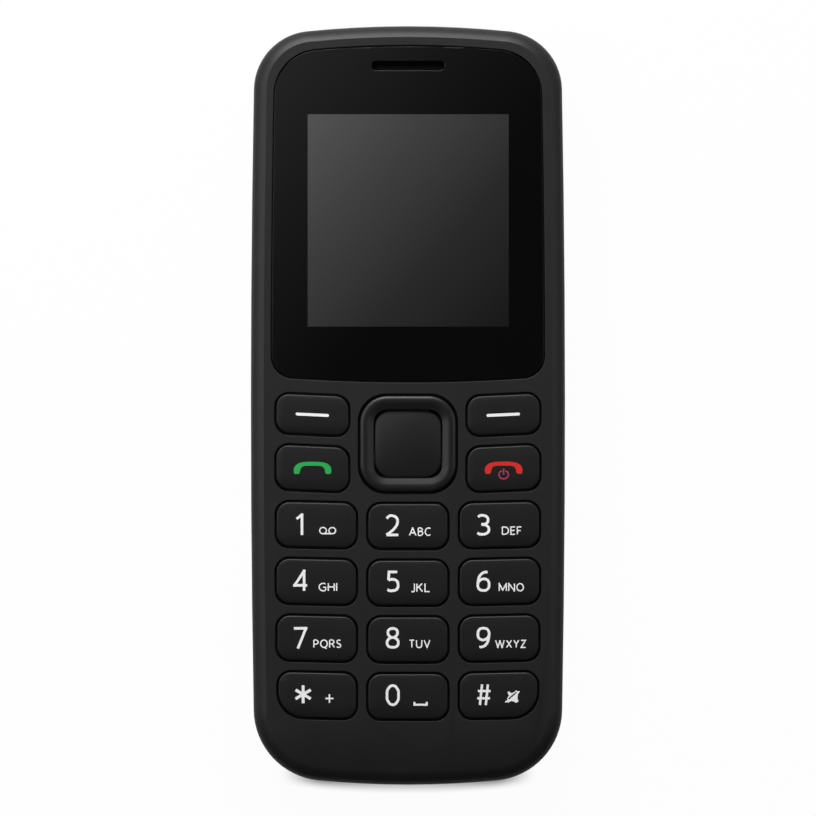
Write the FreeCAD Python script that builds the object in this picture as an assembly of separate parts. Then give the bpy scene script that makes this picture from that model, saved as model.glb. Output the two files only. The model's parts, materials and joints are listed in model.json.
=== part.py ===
import FreeCAD, Part
import math
import os

# Bar-style keypad phone. Millimetres. The phone lies on its back on the plane z = 0:
# +Z is out of the screen, +Y towards the earpiece, +X to the right of the keypad.
# The origin is below the middle of the body.

# ---- Case outline -----------------------------------------------------------
length = 119.0             # over the two bowed ends
width = 49.3               # over the widest point of the bowed sides
side_arc = 2600.0          # radius of the slightly bowed sides
top_arc = 160.0            # radius of the bowed earpiece end
bottom_arc = 145.0         # radius of the bowed port end
top_corner = 9.3
bottom_corner = 11.2
shoulder_depth = 1.8       # height of the rounded shoulder below the front face
shoulder_turn = 64.0       # degrees that the shoulder turns through before the face
shoulder_side = 2.03       # how far the face is set in at the sides
shoulder_top = 1.72        # ... at the earpiece end
shoulder_bottom = 2.2      # ... at the port end
shoulder_steps = 5

# ---- Walls ------------------------------------------------------------------
back_wall = 1.2
side_wall = 1.5            # rear housing's wall behind the display
band_wall = 2.8            # rear housing's band above the cover, with its inner skirt
front_wall = 2.0           # front housing's wall
front_plate = 1.5          # front housing's thickness around the keys
skirt_inset = 2.2          # outside of the inner skirt, seen from the case outline
deck_z = 2.4               # underside of the deck that the cover hides
deck = 0.8
joint_groove = 0.3         # width and height of the groove along the case's joint
lip_height = 0.6           # lip of the rear housing inside the front housing
lip_gap = 0.1
fit_gap = 0.3              # loose clearance round parts that are set into a recess
past = 1.0                 # how far a cut runs past the surface that it opens

# ---- Stack from the back to the board ---------------------------------------
battery_side = 7.65        # from the case's side to the battery
battery_depth = 5.6
battery_gap = 0.15         # above and below the battery
battery_round = 1.2
bay_wall = 0.8
tray = 0.8                 # plate between the battery and the board
board_clearance = 0.9      # between tray and board
board = 0.8
board_edge_gap = 0.3
joint_above_board = 0.2    # height of the case's joint above the board's back

# ---- Cover --------------------------------------------------------------------
rim_below_jack = 0.3       # from the cover's rim to the headphone socket
cover_gap = 0.1
cover_past_battery = 8.9   # the cover's upper edge beyond the battery
tongue_length = 2.2
tongue_from_side = 3.55    # from the case's side to a tongue
tongue = 0.7
tongue_gap = 0.25          # between the tongues and the back wall
hook_length = 5.0
hook_reach = 0.85
hook_thick = 0.45
ledge_thick = 0.4
ledge_reach = 0.5
hook_places = (-0.55, 0.1) # places of the hooks along the battery, in half battery lengths
cross_wall = 1.2

# ---- Latches beside the display -----------------------------------------------
latch_from_top = 19.5
latch_length = 5.0
latch_thick = 0.7
latch_gap = 0.3            # between a latch and the front housing's wall
latch_depth = 2.2          # how far a latch reaches below the case's joint
latch_barb = 0.45
latch_barb_height = 0.6
catch_reach = 0.6
catch_gap = 0.2

# ---- Window and display -----------------------------------------------------
window_side_inset = 3.32
window_top_inset = 3.2
window_length = 52.53
window_top_arc = 157.0
window_bottom_arc = 270.0
window_top_corner = 7.0
window_bottom_corner = 3.4
window = 1.0
window_seam = 0.2
window_sink = 0.05         # window's surface below the face
adhesive = 0.15
ledge = 0.9                # plate under the window
view_from_side = 8.89      # from the case's side to the lit area
view_top_border = 10.65    # from the window's edge to the lit area
view_bottom_border = 8.6
view_margin = 0.4          # frame's opening beyond the lit area
cell_side = 1.4            # glass beyond the lit area at the sides and the top
cell_driver = 5.0          # ... and at the driver end
cell = 0.8
cell_gap = 0.1
backlight_rim = 0.5
backlight_lip = 0.4
flex_width = 12.0
flex = 0.15
connector_width = 14.0
connector_length = 2.2
connector_height = 0.8

# ---- Earpiece -----------------------------------------------------------------
slot_width = 11.47
slot_height = 1.44
slot_round = 0.7
slot_below_window_top = 3.03
mesh = 0.2
mesh_margin = 0.7
earpiece_width = 12.5
earpiece_length = 6.0

# ---- Keypad ---------------------------------------------------------------------
key_gap = 0.33             # between a key and the front plate
key_rise = 0.4             # keys above the face
key_edge = 0.25            # rounded edge of a key's top
flange = 0.5               # how far a key's flange reaches under the plate
flange_thick = 0.6
flange_gap = 0.1
side_bar = 3.92            # from the case's side to the outer columns
port_bar = 10.175          # from the port end to the last row
last_key_extra = 0.07      # extra length of the last row's keys
column_bar = 1.59          # plate left between two columns
row_bar = 1.58             # plate left between two rows
side_column_lift = 0.2
side_column_slant = 1.25   # degrees
row_insets = (0.0, 0.0, 0.1, 0.28)  # how far each row's outer keys are set in at the sides
key_corner = 2.155
last_key_corner = 4.155
key_side_flat = 0.5        # straight part that the corners leave on a key's side
soft_side_bar = 3.87       # from the case's side to the soft keys
soft_length = 6.46
call_length = 7.24
soft_slant = 2.6           # degrees
ring_bar = 1.49            # plate between the ring and the keys beside it
window_bar = 1.995         # plate between the window and the soft keys
call_bar = 1.56            # plate between the soft keys and the call keys
number_bar = 1.575         # plate between the ring or the call keys and the first row
ring_width = 15.36
ring_length = 15.36
ring_corner = 4.2
ring_window_bar = 2.11
ring_rise = 0.6
ring_edge = 0.3
ring_slope = 0.9           # width of the ring's slope down to the select key
ring_slope_drop = 0.42     # height of the slope
ring_flange_thick = 0.4
ring_flange_gap = 0.5      # room above the ring's flange for its tilt
ring_tilt_gap = 0.3        # room below the ring for its tilt
ring_pad = 0.25
pad_gap = 0.05             # between the ring's pad and the mat
select_gap = 0.25          # between the select key and the ring
select_width = 10.56
select_corner = 2.4
select_rise = 0.2

# ---- Key mat, domes and lamps -----------------------------------------------
mat_web = 0.3
mat_height = 0.9           # web's underside above the board
mat_wall = 0.8
mat_margin = 0.5
mat_window_gap = 0.7       # the mat's upper edge below the window's
nav_dome_inset = 1.7       # from the ring's edge to its four domes
mat_pad_inset = 0.6
plunger_radius = 1.2
plunger_gap = 0.05
dome_radius = 2.0
dome_height = 0.35
dome_thick = 0.1
dome_sheet = 0.1
dome_gap = 0.15
lamp_width = 1.6
lamp_length = 0.8
lamp_height = 0.6

# ---- Screws -----------------------------------------------------------------
screw_radius = 0.7
screw_head_radius = 1.45
screw_head = 1.0
screw_bite = 2.6           # thread's length inside the front housing's boss
pilot_gap = 0.02
screw_gap = 0.2
boss_radius = 2.1
boss_gap = 0.4             # between board and boss
seat_web = 1.5             # rear boss between the screw's head and the front boss
drive_radius = 0.55
drive_depth = 0.5
low_screw_from_side = 6.25
low_screw_below_keys = 2.6
high_screw_from_side = 4.45
high_screw_past_window = 8.33
high_screw_past_battery = 3.0

# ---- Ports --------------------------------------------------------------------
port_zone = 15.6           # from the port end to the battery
jack_radius = 1.8
jack_wall = 0.4
jack_width = 6.2
jack_height = 4.6
jack_length = 13.6
jack_set_back = 0.4
jack_nose = 3.4
contact_thick = 0.2
contact_length = 6.0
usb_from_side = 13.65
usb_set_back = 1.0
usb_width = 7.5
usb_height = 2.6
usb_length = 5.6
usb_shell = 0.3
usb_tongue_width = 3.7
usb_tongue = 0.6
microphone_from_side = 14.25
microphone_radius = 2.0
microphone_length = 1.5
boot_wall = 0.6
sound_hole = 0.5           # radius

# ---- Battery contacts -------------------------------------------------------
contact_pitch = 2.9
contact_pads = 3
contact_from_side = 8.0    # from the battery's side
pad_width = 1.8
pad_height = 3.0
pad_thick = 0.15
spring_gap = 0.05
block_length = 3.0

# ---- Card holders -----------------------------------------------------------
sim_width = 14.6
sim_length = 16.0
sim_from_middle = 0.5
sim_pitch = 19.0
sim_from_battery_end = 8.5
card_width = 12.4
card_length = 14.2
card_from_middle = 2.0
card_from_battery_end = 12.0
holder_sink = 0.05
holder_slot = 0.8
holder_metal = 0.2
holder_border = 3.6

# ---- Speaker, buzzer, torch and antenna -------------------------------------
speaker_radius = 8.0
speaker_depth = 3.4
speaker_wall = 0.8
speaker_slots = 3
speaker_slot_length = 8.0
speaker_slot = 0.9
speaker_slot_pitch = 2.4
speaker_slot_round = 0.4
speaker_rim = 2.0
motor_radius = 2.0
motor_length = 8.0
motor_from_speaker = 3.4
motor_from_side = 10.65
motor_shelf = 0.2
cradle_wall = 0.6
shaft_radius = 0.4
shaft_clearance = 0.03
shaft_depth = 4.0
weight_radius = 1.85
weight_length = 3.2
weight_hub = 0.9
weight_gap = 0.5
torch_from_side = 10.65
torch_radius = 1.7
torch_flange = 0.5
torch_flange_thick = 0.5
torch_led_width = 2.6
torch_led_length = 1.6
antenna_from_side = 6.65
antenna_from_far_side = 16.65
antenna_length = 7.0
antenna_below_board = 2.8
antenna_slot = 1.2
antenna_slot_inset = 2.3
antenna = 0.2
antenna_ribs = 4
antenna_end_gap = 4.0

# ---- Board parts --------------------------------------------------------------
shield_height = 1.5
shield_sheet = 0.15
shield_from_centre = 1.8
shield_edge_gap = 2.25     # from the board's side
shield_left_length = 22.0
shield_right_length = 16.0
shield_past_wall = 2.5
processor_width = 10.0
processor_height = 1.0
radio_width = 7.0
radio_height = 0.9

# ---- Levels worked out from the stack -----------------------------------------
battery_z = back_wall + battery_gap
tray_z = battery_z + battery_depth + battery_gap
tray_top = tray_z + tray
board_z = tray_top + board_clearance
board_top = board_z + board
joint_z = board_z + joint_above_board
web_z = board_top + mat_height
web_top = web_z + mat_web
pad_z = web_top + pad_gap
pad_top = pad_z + ring_pad
ring_base = pad_top + ring_tilt_gap
ring_flange_top = ring_base + ring_flange_thick
plate_z = ring_flange_top + ring_flange_gap
face_z = plate_z + front_plate
shoulder_z = face_z - shoulder_depth
window_top_z = face_z - window_sink
window_z = window_top_z - window
adhesive_z = window_z - adhesive
ledge_z = adhesive_z - ledge
cell_z = ledge_z - cell_gap - cell
key_top = face_z + key_rise
flange_top = plate_z - flange_gap
key_base = flange_top - flange_thick
ring_top = face_z + ring_rise
plunger_z = board_top + dome_height + plunger_gap
seat_z = joint_z - seat_web
jack_z = board_z - jack_height / 2
cover_rim = jack_z - jack_radius - jack_wall - rim_below_jack
back_round = cover_rim     # the rounding between the sides and the back ends at the cover's rim
band_z = cover_rim + cover_gap
antenna_z = board_z - antenna_below_board

# ---- Places worked out from the sizes ------------------------------------------
top_end = length / 2
port_end = -length / 2
window_top_y = top_end - window_top_inset
window_bottom_y = window_top_y - window_length
view_width = width - 2 * view_from_side
view_length = window_length - view_top_border - view_bottom_border
view_y = window_top_y - view_top_border - view_length / 2
latch_y = top_end - latch_from_top
slot_y = window_top_y - slot_below_window_top
high_screw_y = window_bottom_y + high_screw_past_window
battery_width = width - 2 * battery_side
battery_low = port_end + port_zone
battery_high = high_screw_y - high_screw_past_battery
battery_length = battery_high - battery_low
cover_end = battery_high + cover_past_battery
cross_y = cover_end + tongue_length + fit_gap
ring_y = window_bottom_y - ring_window_bar - ring_length / 2
soft_width = width / 2 - soft_side_bar - ring_bar - ring_width / 2
soft_x = ring_width / 2 + ring_bar + soft_width / 2
soft_y = window_bottom_y - window_bar - soft_length / 2
call_y = soft_y - soft_length / 2 - call_bar - call_length / 2
number_top_y = min(call_y - call_length / 2, ring_y - ring_length / 2) - number_bar
number_low_y = port_end + port_bar
key_width = (width - 2 * side_bar - 2 * column_bar) / 3
key_length = (number_top_y - number_low_y - 3 * row_bar - last_key_extra) / 4
last_key_length = key_length + last_key_extra
first_row_y = number_top_y - key_length / 2
column_pitch = key_width + column_bar
row_pitch = key_length + row_bar
last_row_y = number_low_y + last_key_length / 2
speaker_y = cross_y + cross_wall + fit_gap + speaker_wall + speaker_radius
motor_y = speaker_y + speaker_radius + motor_from_speaker
motor_z = back_wall + motor_shelf + motor_radius
high_screw_x = width / 2 - high_screw_from_side
low_screw_x = width / 2 - low_screw_from_side
low_screw_y = number_low_y - low_screw_below_keys
usb_x = usb_from_side - width / 2
microphone_x = width / 2 - microphone_from_side
contact_x = battery_width / 2 - contact_from_side
sim_x = -sim_from_middle - sim_width / 2
card_x = card_from_middle + card_width / 2
motor_left = motor_from_side - width / 2
torch_x = width / 2 - torch_from_side
antenna_left = antenna_from_side - width / 2
antenna_right = width / 2 - antenna_from_far_side
shield_width = width / 2 - band_wall - board_edge_gap - shield_edge_gap - shield_from_centre


def vec(x, y, z=0.0):
    return FreeCAD.Vector(x, y, z)


def box(x0, x1, y0, y1, z0, z1):
    """A block between two corners."""
    return Part.makeBox(x1 - x0, y1 - y0, z1 - z0, vec(x0, y0, z0))


def block(x, y, x_size, y_size, z0, z1):
    """A block centred on a place in plan."""
    return box(x - x_size / 2, x + x_size / 2, y - y_size / 2, y + y_size / 2, z0, z1)


def rod(x, y, radius, z0, z1):
    """An upright cylinder."""
    return Part.makeCylinder(radius, z1 - z0, vec(x, y, z0))


def rod_y(x, z, radius, y0, y1):
    """A cylinder along Y."""
    return Part.makeCylinder(radius, y1 - y0, vec(x, y0, z), vec(0, 1, 0))


def rod_x(y, z, radius, x0, x1):
    """A cylinder along X."""
    return Part.makeCylinder(radius, x1 - x0, vec(x0, y, z), vec(1, 0, 0))


def rise(wire, z0, z1):
    """A prism on a flat outline, between two heights."""
    solid = Part.Face(wire).extrude(vec(0, 0, z1 - z0))
    solid.translate(vec(0, 0, z0))
    return solid


def join(first, *others):
    """One solid from several that overlap."""
    return first.multiFuse(list(others)).removeSplitter() if others else first


def group(solids):
    """Separate solids of one node."""
    return Part.makeCompound(solids)


def towards(start, end, distance):
    """The point at a distance from start, in the direction of end."""
    step = end.sub(start)
    step.normalize()
    return start + step * distance


def arc(centre, radius, start, end):
    """The shorter arc between two points on a circle."""
    middle = towards(centre, (start + end) * 0.5, radius)
    return Part.Arc(start, middle, end).toShape()


def circles_meet(first, first_radius, second, second_radius, side):
    """Where two circles cross, on the upper (side 1) or lower (side -1) right."""
    step = second.sub(first)
    gap = step.Length
    along = (first_radius ** 2 - second_radius ** 2 + gap ** 2) / (2 * gap)
    across = math.sqrt(first_radius ** 2 - along ** 2)
    unit = step * (1 / gap)
    normal = vec(-unit.y, unit.x) * across
    meets = [first + unit * along + normal, first + unit * along - normal]
    return max(meets, key=lambda point: point.x + side * point.y)


def mirrored(point):
    return vec(-point.x, point.y)


def bowed_outline(half_width, sides, top, top_bow, bottom, bottom_bow, high_corner, low_corner):
    """A closed outline with four bowed edges and four rounded corners."""
    top_centre = vec(0, top - top_bow)
    bottom_centre = vec(0, bottom + bottom_bow)
    side_centre = vec(half_width - sides, 0)
    high = circles_meet(top_centre, top_bow - high_corner, side_centre, sides - high_corner, 1)
    low = circles_meet(bottom_centre, bottom_bow - low_corner, side_centre, sides - low_corner, -1)
    a = towards(top_centre, high, top_bow)
    b = towards(side_centre, high, sides)
    c = towards(side_centre, low, sides)
    d = towards(bottom_centre, low, bottom_bow)
    return Part.Wire([
        arc(top_centre, top_bow, mirrored(a), a),
        arc(high, high_corner, a, b),
        arc(side_centre, sides, b, c),
        arc(low, low_corner, c, d),
        arc(bottom_centre, bottom_bow, d, mirrored(d)),
        arc(mirrored(low), low_corner, mirrored(d), mirrored(c)),
        arc(mirrored(side_centre), sides, mirrored(c), mirrored(b)),
        arc(mirrored(high), high_corner, mirrored(b), mirrored(a)),
    ])


def case_outline(side, top=None, bottom=None):
    """The case's outline, set in by a distance at the sides and at each end."""
    top = side if top is None else top
    bottom = side if bottom is None else bottom
    return bowed_outline(
        width / 2 - side, side_arc - side,
        length / 2 - top, top_arc - top,
        -length / 2 + bottom, bottom_arc - bottom,
        top_corner - (side + top) / 2, bottom_corner - (side + bottom) / 2)


def window_outline(inset):
    """The window's outline, set in by a distance."""
    return bowed_outline(
        width / 2 - window_side_inset - inset, side_arc - window_side_inset - inset,
        window_top_y - inset, window_top_arc - inset,
        window_bottom_y + inset, window_bottom_arc - inset,
        window_top_corner - inset, window_bottom_corner - inset)


def rounded_polygon(points, radii):
    """A closed outline through points, with a rounding at each."""
    starts, ends, edges = [], [], []
    count = len(points)
    for i, (point, radius) in enumerate(zip(points, radii)):
        before = points[i - 1]
        after = points[(i + 1) % count]
        angle = before.sub(point).getAngle(after.sub(point))
        starts.append(towards(point, before, radius / math.tan(angle / 2)))
        ends.append(towards(point, after, radius / math.tan(angle / 2)))
        bisector = towards(point, starts[i] + ends[i] - point, radius / math.sin(angle / 2))
        edges.append(arc(bisector, radius, starts[i], ends[i]))
        if i:
            edges.insert(-1, Part.LineSegment(ends[i - 1], starts[i]).toShape())
    edges.append(Part.LineSegment(ends[-1], starts[0]).toShape())
    return Part.Wire(edges)


def rounded_block(x, y, x_size, y_size, radius, z0, z1):
    """A block with rounded corners in plan."""
    corners = [vec(x + i * x_size / 2, y + j * y_size / 2) for i, j in ((-1, -1), (1, -1), (1, 1), (-1, 1))]
    return rise(rounded_polygon(corners, [radius] * 4), z0, z1)


def shell_solid(inset, z0, z1, rounding):
    """The case's shape below its shoulder, set in by a distance, with a rounded back."""
    solid = rise(case_outline(inset), z0, z1)
    rim = [edge for edge in solid.Edges if edge.BoundBox.ZMax < z0 + 0.001]
    return solid.makeFillet(rounding, rim)


def shoulder_solid():
    """The case above its joint: a straight wall and a shoulder that rounds over to the face."""
    turn = math.radians(shoulder_turn)
    sections = []
    for step in range(shoulder_steps + 1):
        angle = turn * step / shoulder_steps
        share = (1 - math.cos(angle)) / (1 - math.cos(turn))
        outline = case_outline(shoulder_side * share, shoulder_top * share, shoulder_bottom * share)
        outline.translate(vec(0, 0, shoulder_z + shoulder_depth * math.sin(angle) / math.sin(turn)))
        sections.append(outline)
    wall = rise(case_outline(0), joint_z, shoulder_z)
    return wall.fuse(Part.makeLoft(sections, True)).removeSplitter()


# ---- Keys: name, centre, width, length, slant and the radii of its four corners ----

def slanted_outline(key, grow):
    """A key's outline, grown by a distance: upright sides, slanted ends."""
    half_x = key["width"] / 2 + grow
    half_y = key["length"] / 2 + grow
    lean = math.tan(math.radians(key["slant"]))
    signs = ((-1, -1), (1, -1), (1, 1), (-1, 1))
    corners = [vec(key["x"] + i * half_x, key["y"] + j * half_y + i * half_x * lean) for i, j in signs]
    return rounded_polygon(corners, [radius + grow for radius in key["corners"]])


def fitted_corners(corners, long):
    """A key's corner radii, no larger than its sides have room for."""
    tallest = max(corners[0] + corners[3], corners[1] + corners[2])
    share = min(1.0, (long - key_side_flat) / tallest)
    return [radius * share for radius in corners]


def key_table():
    """The sixteen keys round the ring and below it."""
    keys = []
    for side, soft, call in ((-1, "soft_left", "call_key"), (1, "soft_right", "end_key")):
        for name, y, long in ((soft, soft_y, soft_length), (call, call_y, call_length)):
            keys.append({"name": name, "x": side * soft_x, "y": y, "width": soft_width, "length": long,
                         "slant": side * soft_slant, "corners": fitted_corners([key_corner] * 4, long)})
    names = ("key_1", "key_2", "key_3", "key_4", "key_5", "key_6",
             "key_7", "key_8", "key_9", "key_star", "key_0", "key_hash")
    for place, name in enumerate(names):
        row, column = divmod(place, 3)
        side = column - 1
        inset = row_insets[row] if side else 0.0
        last = row == 3
        long = last_key_length if last else key_length
        corners = [key_corner] * 4
        if last and side:
            corners[0 if side < 0 else 1] = last_key_corner
        keys.append({
            "name": name,
            "x": side * (column_pitch - inset / 2),
            "y": (last_row_y if last else first_row_y - row * row_pitch) + abs(side) * side_column_lift,
            "width": key_width - inset,
            "length": long,
            "slant": side * side_column_slant,
            "corners": fitted_corners(corners, long),
        })
    return keys


keys = key_table()
select = {"x": 0.0, "y": ring_y, "width": select_width, "length": select_width,
          "slant": 0.0, "corners": [select_corner] * 4}
ring = {"x": 0.0, "y": ring_y, "width": ring_width, "length": ring_length,
        "slant": 0.0, "corners": [ring_corner] * 4}
screw_places = [(side * x, y) for side in (-1, 1)
                for x, y in ((high_screw_x, high_screw_y), (low_screw_x, low_screw_y))]
dome_places = [(key["x"], key["y"]) for key in keys + [select]]
nav_reach = (ring_width / 2 - nav_dome_inset, ring_length / 2 - nav_dome_inset)
dome_places += [(nav_reach[0] * i, ring_y + nav_reach[1] * j) for i, j in ((-1, 0), (1, 0), (0, -1), (0, 1))]


def rounded_top(solid, top, radius):
    """Rounds the edges of a solid's flat top."""
    rim = [edge for edge in solid.Edges if edge.BoundBox.ZMin > top - 0.001]
    return solid.makeFillet(radius, rim)


def key_cap(key):
    """A key: its cap in the opening and the flange that holds it under the front plate."""
    cap = rounded_top(rise(slanted_outline(key, -key_gap / 2), key_base, key_top), key_top, key_edge)
    return join(cap, rise(slanted_outline(key, flange), key_base, flange_top))


def select_key():
    top = face_z + select_rise
    return rounded_top(rise(slanted_outline(select, -select_gap / 2), key_base, top), top, key_edge)


def nav_ring():
    """The four-way ring: a rounded crown that falls towards the select key, with a flange."""
    outside = rise(slanted_outline(ring, -key_gap / 2), ring_base, ring_top)
    outside = rounded_top(outside, ring_top, ring_edge)
    foot = rise(slanted_outline(ring, flange), ring_base, ring_flange_top)
    hole = rise(slanted_outline(select, select_gap / 2), ring_base, ring_top)
    slope = Part.makeLoft([
        sunk(slanted_outline(select, select_gap / 2), ring_top - ring_slope_drop),
        sunk(slanted_outline(select, ring_slope), ring_top)], True, True)
    return join(outside, foot).cut(hole).cut(slope)


def sunk(outline, z):
    outline.translate(vec(0, 0, z))
    return outline


def nav_ring_pad():
    """The soft pad between the ring and the key mat."""
    pad = rise(slanted_outline(ring, -key_gap), pad_z, pad_top)
    return pad.cut(rise(slanted_outline(select, select_gap + mat_pad_inset / 2), pad_z, pad_top))


# ---- Case -----------------------------------------------------------------------

def end_screw_boss(x, y):
    """A boss under the front plate, bored for a screw."""
    boss = rod(x, y, boss_radius, joint_z, adhesive_z - cell_gap)
    return boss.cut(rod(x, y, screw_radius + pilot_gap, joint_z, joint_z + screw_bite))


def half_width_at(y):
    """Half the case's width at a place along its bowed sides."""
    return width / 2 - y ** 2 / (2 * side_arc)


def port_end_at(x):
    """The port end's bowed surface at a place across it."""
    return port_end + x ** 2 / (2 * bottom_arc)


def between(side, inner, outer, y0, y1, z0, z1):
    """A block on one side of the phone, between two distances from its middle."""
    return box(min(side * inner, side * outer), max(side * inner, side * outer), y0, y1, z0, z1)


def latch_block(side, inset, thick, z0, z1, gap=0.0):
    """A block of a latch or its catch: its outer face's inset from the side, and its thickness."""
    outer = half_width_at(latch_y) - inset
    half = latch_length / 2 + gap
    return between(side, outer - thick - gap, outer + gap, latch_y - half, latch_y + half, z0, z1)


def view_block(z0, z1):
    """The opening over the lit area, between two heights."""
    return block(0, view_y, view_width + 2 * view_margin, view_length + 2 * view_margin, z0, z1)


def front_housing():
    """Front shell: rounded shoulder, window recess, display opening and key openings."""
    shell = shoulder_solid()
    keypad_edge = window_bottom_y - (window_seam + fit_gap)
    cavity = rise(case_outline(front_wall), joint_z, plate_z)
    display_end = box(-width, width, keypad_edge, length, ledge_z, face_z)
    shell = shell.cut(cavity.cut(display_end))
    groove = rise(case_outline(0), joint_z, joint_z + joint_groove)
    groove = groove.cut(rise(case_outline(joint_groove), joint_z, joint_z + joint_groove))
    cuts = [groove, rise(window_outline(-window_seam), adhesive_z, face_z + past)]
    cuts.append(view_block(ledge_z, face_z))
    cuts.append(rounded_block(0, slot_y, slot_width, slot_height, slot_round, ledge_z, face_z))
    cuts.append(mesh_block(fit_gap / 2))
    cuts += [rise(slanted_outline(key, key_gap / 2), plate_z - past, face_z + past) for key in keys + [ring]]
    bosses = [end_screw_boss(x, y) for x, y in screw_places]
    tip = joint_z - latch_depth
    inset = front_wall + latch_gap
    for side in (-1, 1):
        bosses.append(latch_block(side, inset, latch_thick, tip, ledge_z + ledge / 2))
        bosses.append(latch_block(side, inset - latch_barb, 2 * latch_barb, tip, tip + latch_barb_height))
    return shell.cut(cuts).multiFuse(bosses)


def bay_block(grow, z0, z1):
    """The battery's place, grown by a distance in plan."""
    middle = (battery_low + battery_high) / 2
    return block(0, middle, battery_width + 2 * grow, battery_length + 2 * grow, z0, z1)


def rear_band():
    """The part of the rear housing that the cover slides under."""
    inner = case_outline(band_wall)
    band = rise(case_outline(0), band_z, joint_z)
    skirt = rise(case_outline(skirt_inset), deck_z, band_z)
    tub = join(band, skirt).cut(rise(inner, deck_z + deck, joint_z))
    well = bay_block(fit_gap + bay_wall, deck_z, tray_top)
    tub = join(tub, well).cut(bay_block(fit_gap, deck_z, tray_z))
    return tub.common(box(-width, width, port_end - past, cross_y, 0, joint_z))


def rear_top():
    """The part of the rear housing behind the display, with the back wall and the cross wall."""
    shell = shell_solid(0, 0, joint_z, back_round)
    hollow = shell_solid(side_wall, back_wall, joint_z + past, back_round - back_wall)
    hollow = hollow.cut(box(-width, width, cross_y, cross_y + cross_wall, 0, tray_top))
    return shell.cut([hollow, box(-width, width, port_end - past, cover_end + cover_gap, 0, joint_z)])


def rear_bosses():
    """Screw bosses, cover ledges, and the seats of the speaker, motor and antenna."""
    parts = [rod(x, y, boss_radius, deck_z, joint_z) for x, y in screw_places]
    for side in (-1, 1):
        for y in hook_rows():
            skirt = half_width_at(y) - skirt_inset
            ledge_top = hook_z() - cover_gap
            parts.append(between(side, skirt - ledge_reach, skirt + ledge_reach, y - hook_length / 2,
                                 y + hook_length / 2, ledge_top - ledge_thick, ledge_top))
    wall = speaker_radius + fit_gap / 2 + speaker_wall
    parts.append(rod(0, speaker_y, wall, back_wall, back_wall + speaker_depth))
    cradle_x = motor_left + motor_length / 2
    cradle_width = 2 * (motor_radius + cradle_wall)
    parts.append(block(cradle_x, motor_y, motor_length / 2, cradle_width, back_wall, motor_z))
    for rib in range(antenna_ribs):
        share = rib / (antenna_ribs - 1)
        x = antenna_left + (antenna_right - antenna_left - cross_wall) * share
        parts.append(box(x, x + cross_wall, antenna_y(), antenna_y() + antenna_length, back_wall, antenna_z))
    catch_z = joint_z - latch_depth + latch_barb_height + catch_gap
    for side in (-1, 1):
        parts.append(latch_block(side, side_wall / 2, side_wall / 2 + catch_reach,
                                 catch_z, joint_z - lip_height))
    return parts


def hook_rows():
    middle = (battery_low + battery_high) / 2
    return [middle + share * battery_length / 2 for share in hook_places]


def hook_z():
    """The underside of the cover's hooks."""
    return cover_rim - cover_gap - hook_thick


def antenna_y():
    return top_end - side_wall - antenna_end_gap - antenna_length


def rear_cuts():
    """Screw holes, ports, the torch and the speaker's grille."""
    cuts = []
    for x, y in screw_places:
        cuts.append(rod(x, y, screw_radius + screw_gap, deck_z, joint_z))
        cuts.append(rod(x, y, screw_head_radius + screw_gap, deck_z, seat_z))
    cuts.append(rod(0, speaker_y, speaker_radius + fit_gap / 2, back_wall, joint_z))
    for slot in range(speaker_slots):
        y = speaker_y + (slot - (speaker_slots - 1) / 2) * speaker_slot_pitch
        cuts.append(rounded_block(0, y, speaker_slot_length, speaker_slot, speaker_slot_round,
                                  -past, back_wall))
    cuts.append(rod_x(motor_y, motor_z, motor_radius + shaft_clearance,
                      motor_left, motor_left + motor_length))
    cuts.append(rod_y(0, jack_z, jack_radius + jack_wall + cover_gap, port_end - past, port_end + band_wall))
    cuts.append(block(0, port_end + band_wall + jack_length / 2, jack_width + fit_gap, jack_length,
                      deck_z + deck, joint_z))
    usb_half = (usb_width + fit_gap) / 2
    usb_wall = port_end_at(abs(usb_x) + usb_half) + band_wall + fit_gap
    cuts.append(box(usb_x - usb_half, usb_x + usb_half, port_end - past, usb_wall,
                    board_z - usb_height - fit_gap / 2, board_z))
    cuts.append(rod_y(microphone_x, microphone_z(), sound_hole, port_end - past, port_end + band_wall + past))
    cuts.append(boot_block(cover_gap, port_end + band_wall))
    cuts.append(rod_y(torch_x, torch_z(), torch_radius + cover_gap,
                      top_end - 2 * side_wall - past, top_end + past))
    for x, y, wide, long in holder_places():
        cuts.append(block(x, y, wide + fit_gap, long + fit_gap, tray_z, board_z))
    half = (contact_block_width() + fit_gap) / 2
    cuts.append(box(contact_x - half, contact_x + half, battery_high,
                    contact_block_y() + block_length + fit_gap, back_wall, board_z))
    return cuts


def contact_block_width():
    return contact_pitch * contact_pads + pad_width


def contact_block_y():
    """The battery side of the contact block."""
    return battery_high + pad_thick + spring_gap + fit_gap


def microphone_z():
    return board_z - boot_wall - microphone_radius


def torch_z():
    return board_z - torch_radius - torch_flange


def holder_places():
    """Card holders in the battery's floor: x, y, width and length."""
    low_sim = battery_low + sim_from_battery_end + sim_length / 2
    card_y = battery_low + card_from_battery_end + card_length / 2
    return [(sim_x, low_sim, sim_width, sim_length),
            (sim_x, low_sim + sim_pitch, sim_width, sim_length),
            (card_x, card_y, card_width, card_length)]


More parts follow.
